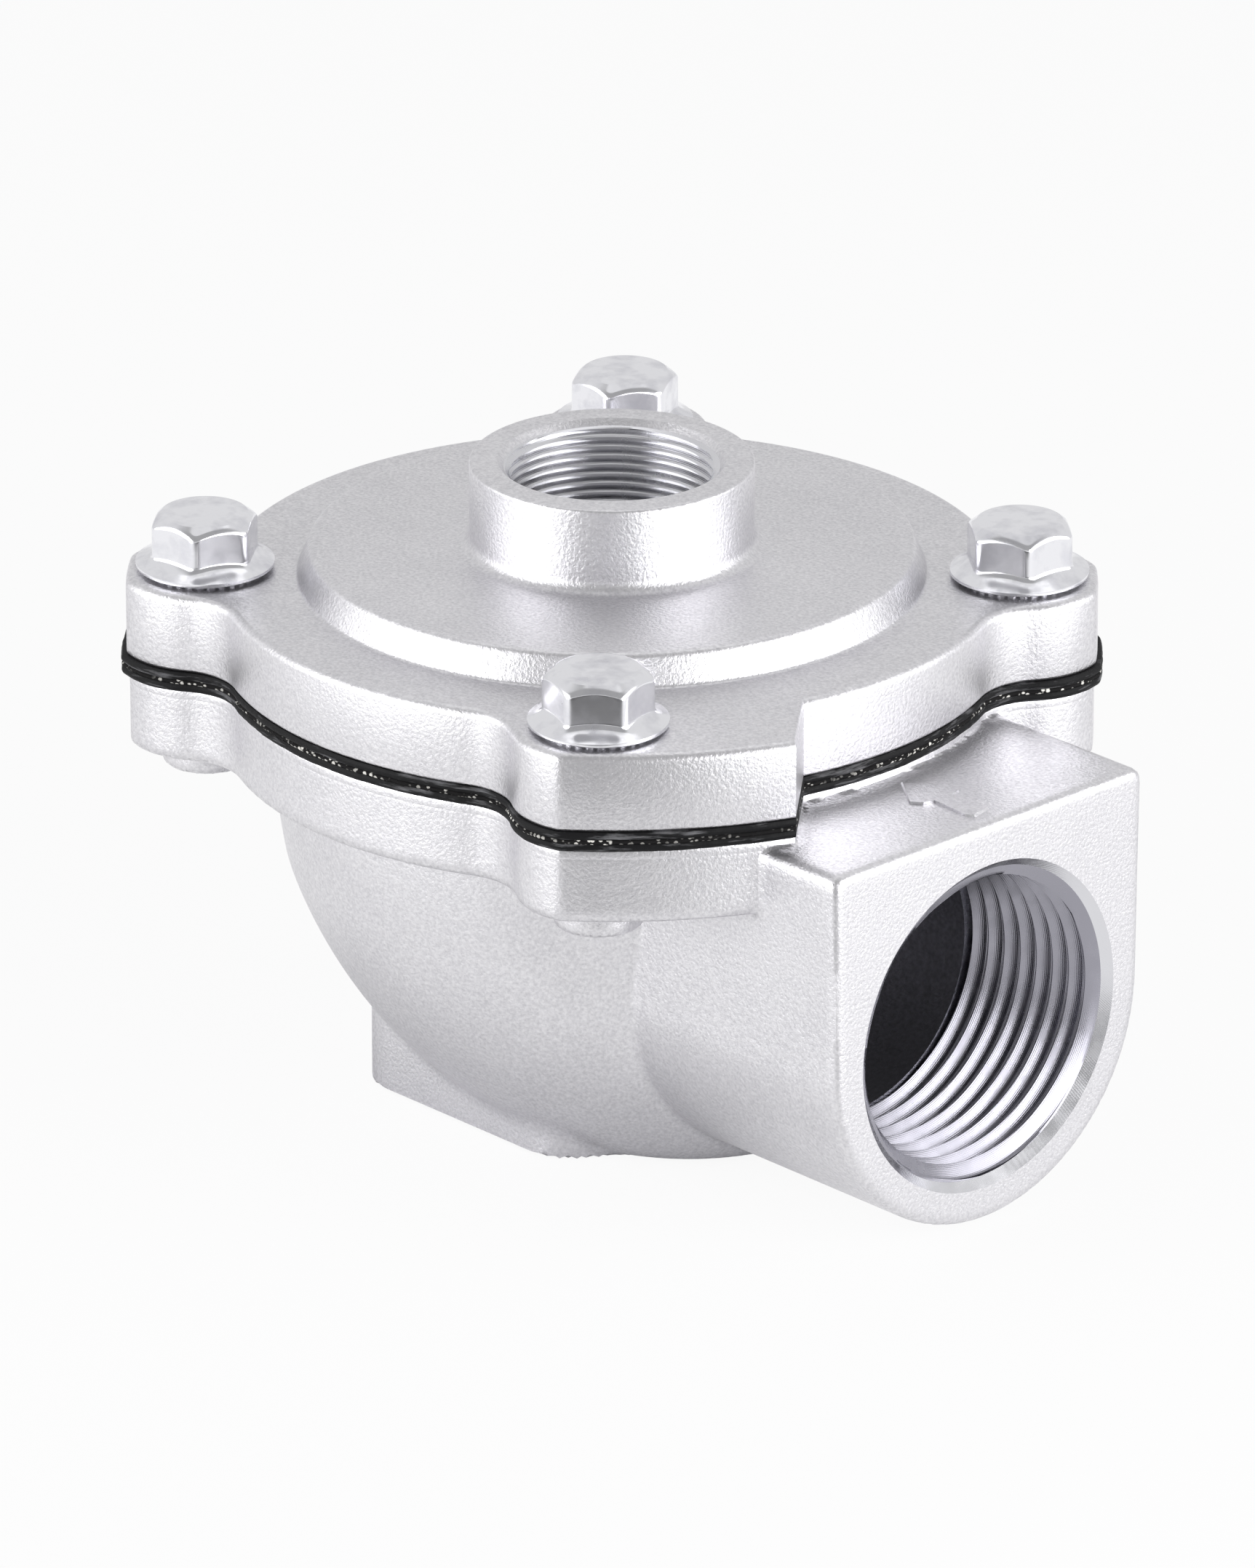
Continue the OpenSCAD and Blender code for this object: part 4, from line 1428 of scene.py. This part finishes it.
    def lights(self) -> None:
        """Large soft lamps on both sides and above, and two small ones close to the floor."""
        for name, place, size, power in self.lamps:
            data = bpy.data.lights.new(name, "AREA")
            data.shape = "DISK"
            data.size = size
            data.energy = power
            lamp = bpy.data.objects.new(name, data)
            lamp.visible_camera = False
            bpy.context.scene.collection.objects.link(lamp)
            position = Vector(place)
            facing = (position - Vector(self.aim)).to_track_quat("Z", "Y").to_matrix().to_4x4()
            lamp.matrix_world = Matrix.Translation(position) @ facing

    def surroundings(self) -> None:
        """A white surround, which gloss sees dim towards the room, above and before the valve."""
        world = bpy.data.worlds.new("surround")
        bpy.context.scene.world = world
        world.use_nodes = True
        tree = world.node_tree
        tree.nodes.clear()
        path = add_node(tree, "LightPath").outputs
        place = add_node(tree, "TexCoord").outputs["Generated"]
        ahead = add_node(tree, "VectorMath", {0: place, 1: self.room_way}, operation="DOT_PRODUCT")
        backdrop = add_node(tree, "MapRange", {
            "Value": ahead, "From Min": self.room_edge[0], "From Max": self.room_edge[1],
            "To Max": self.mirrored_white,
        }, interpolation_type="SMOOTHSTEP")
        mirrored = add_node(
            tree, "Math", {0: path["Is Glossy Ray"], 1: backdrop}, operation="MULTIPLY"
        )
        seen = add_node(
            tree, "Math", {0: path["Is Camera Ray"], 1: path["Is Transmission Ray"]},
            operation="MAXIMUM",
        )
        shown = add_node(tree, "Math", {0: seen, 1: mirrored}, operation="MAXIMUM")
        strength = add_node(
            tree, "MapRange", {"Value": shown, "To Min": self.surround, "To Max": 1.0}
        )
        light = add_node(tree, "Background", {"Color": linear("#ffffff"), "Strength": strength})
        add_node(tree, "OutputWorld", {"Surface": light})
        bpy.context.scene.view_settings.view_transform = "Standard"


class PulseValve:
    """The whole valve: its finishes, its castings, its bolts, its diaphragm and its spring."""

    bolt_turns_deg: tuple[float, ...] = (40.0, 43.0, 22.0, 29.0)

    def __init__(self, nodes: dict[str, Object]) -> None:
        """Keeps the CAD nodes and makes every finish once."""
        self.nodes = nodes
        self.cast = BlastedCasting().material()
        # Inside the chamber and passage: the as-cast skin, whose darker colours are also painted
        # shade of the hollow.
        self.raw_cast_with_painted_shade = BlastedCasting(
            "raw_die_cast_aluminium_painted_shade", bright="#a09fa6", dull="#87868c", grain_mm=0.5,
            roughness=0.55,
        ).material()
        upright = (0, 0, 1)
        self.cut_metal = TurnedMetal("turned_aluminium_upright", "#dcdce0", upright).material()
        # The port threads are cut in the same aluminium as the turned faces; their darker colour is
        # painted shade inside the bores.
        self.thread_metal_with_painted_shade = TurnedMetal(
            "threaded_aluminium_painted_shade", "#9c9ba4", (1, 0, 0), (0, 0, 21.525), roughness=0.24
        ).material()
        self.zinc = PlatedSteel("bright_zinc_plate", "#f0f0f4", "#dadae0", 0.12).material()
        self.sheet = PlatedSteel("rolled_steel_sheet", "#9fa1a5", "#8b8d90", 0.3).material()
        self.wire = PlatedSteel("drawn_spring_wire", "#7b7d82", "#6a6c70", 0.28).material()
        self.brass = TurnedMetal("turned_brass", "#c9a453", upright, roughness=0.2).material()
        self.rubber = MouldedRubber().material()
        self.cloth = CutCloth().material()

    def dress_nodes(self) -> None:
        """Gives the centre stack, which keeps its CAD shapes, its finishes."""
        finishes = {
            "diaphragm_centre": self.rubber, "support_plate": self.sheet,
            "retainer_disc": self.sheet, "centre_screw": self.zinc, "plain_washer": self.zinc,
            "lock_washer": self.wire, "lock_nut": self.zinc, "bleed_bush_1": self.brass,
            "bleed_bush_2": self.brass,
        }
        for name, material in finishes.items():
            mesh = self.nodes[name].data
            mesh.materials.clear()
            mesh.materials.append(material)
            LOG.info("%s: CAD shape, %s", name, material.name)

    def build(self) -> None:
        """Makes every piece, castings first."""
        outline = FlangeOutline()
        CoverCasting(outline).build(self.cast, self.cut_metal)
        BodyCasting(outline).build(self.cast, self.raw_cast_with_painted_shade, self.cut_metal, self.thread_metal_with_painted_shade)
        for number, turn in enumerate(self.bolt_turns_deg, start=1):
            FlangeBolt(number, outline, 45 + 90 * (number - 1) + turn).build(self.zinc)
        DiaphragmEdge(outline).build(self.rubber, self.cloth)
        DiaphragmWeb().build(self.rubber)
        ReturnSpring().build(self.wire)
        self.dress_nodes()


def main() -> None:
    """Loads the frame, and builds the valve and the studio."""
    logging.basicConfig(level=logging.INFO, format="%(name)s: %(message)s")
    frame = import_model()
    studio = Studio()
    studio.camera()
    PulseValve(frame["nodes"]).build()
    studio.floor()
    studio.lights()
    studio.surroundings()


if __name__ == "__main__":
    main()
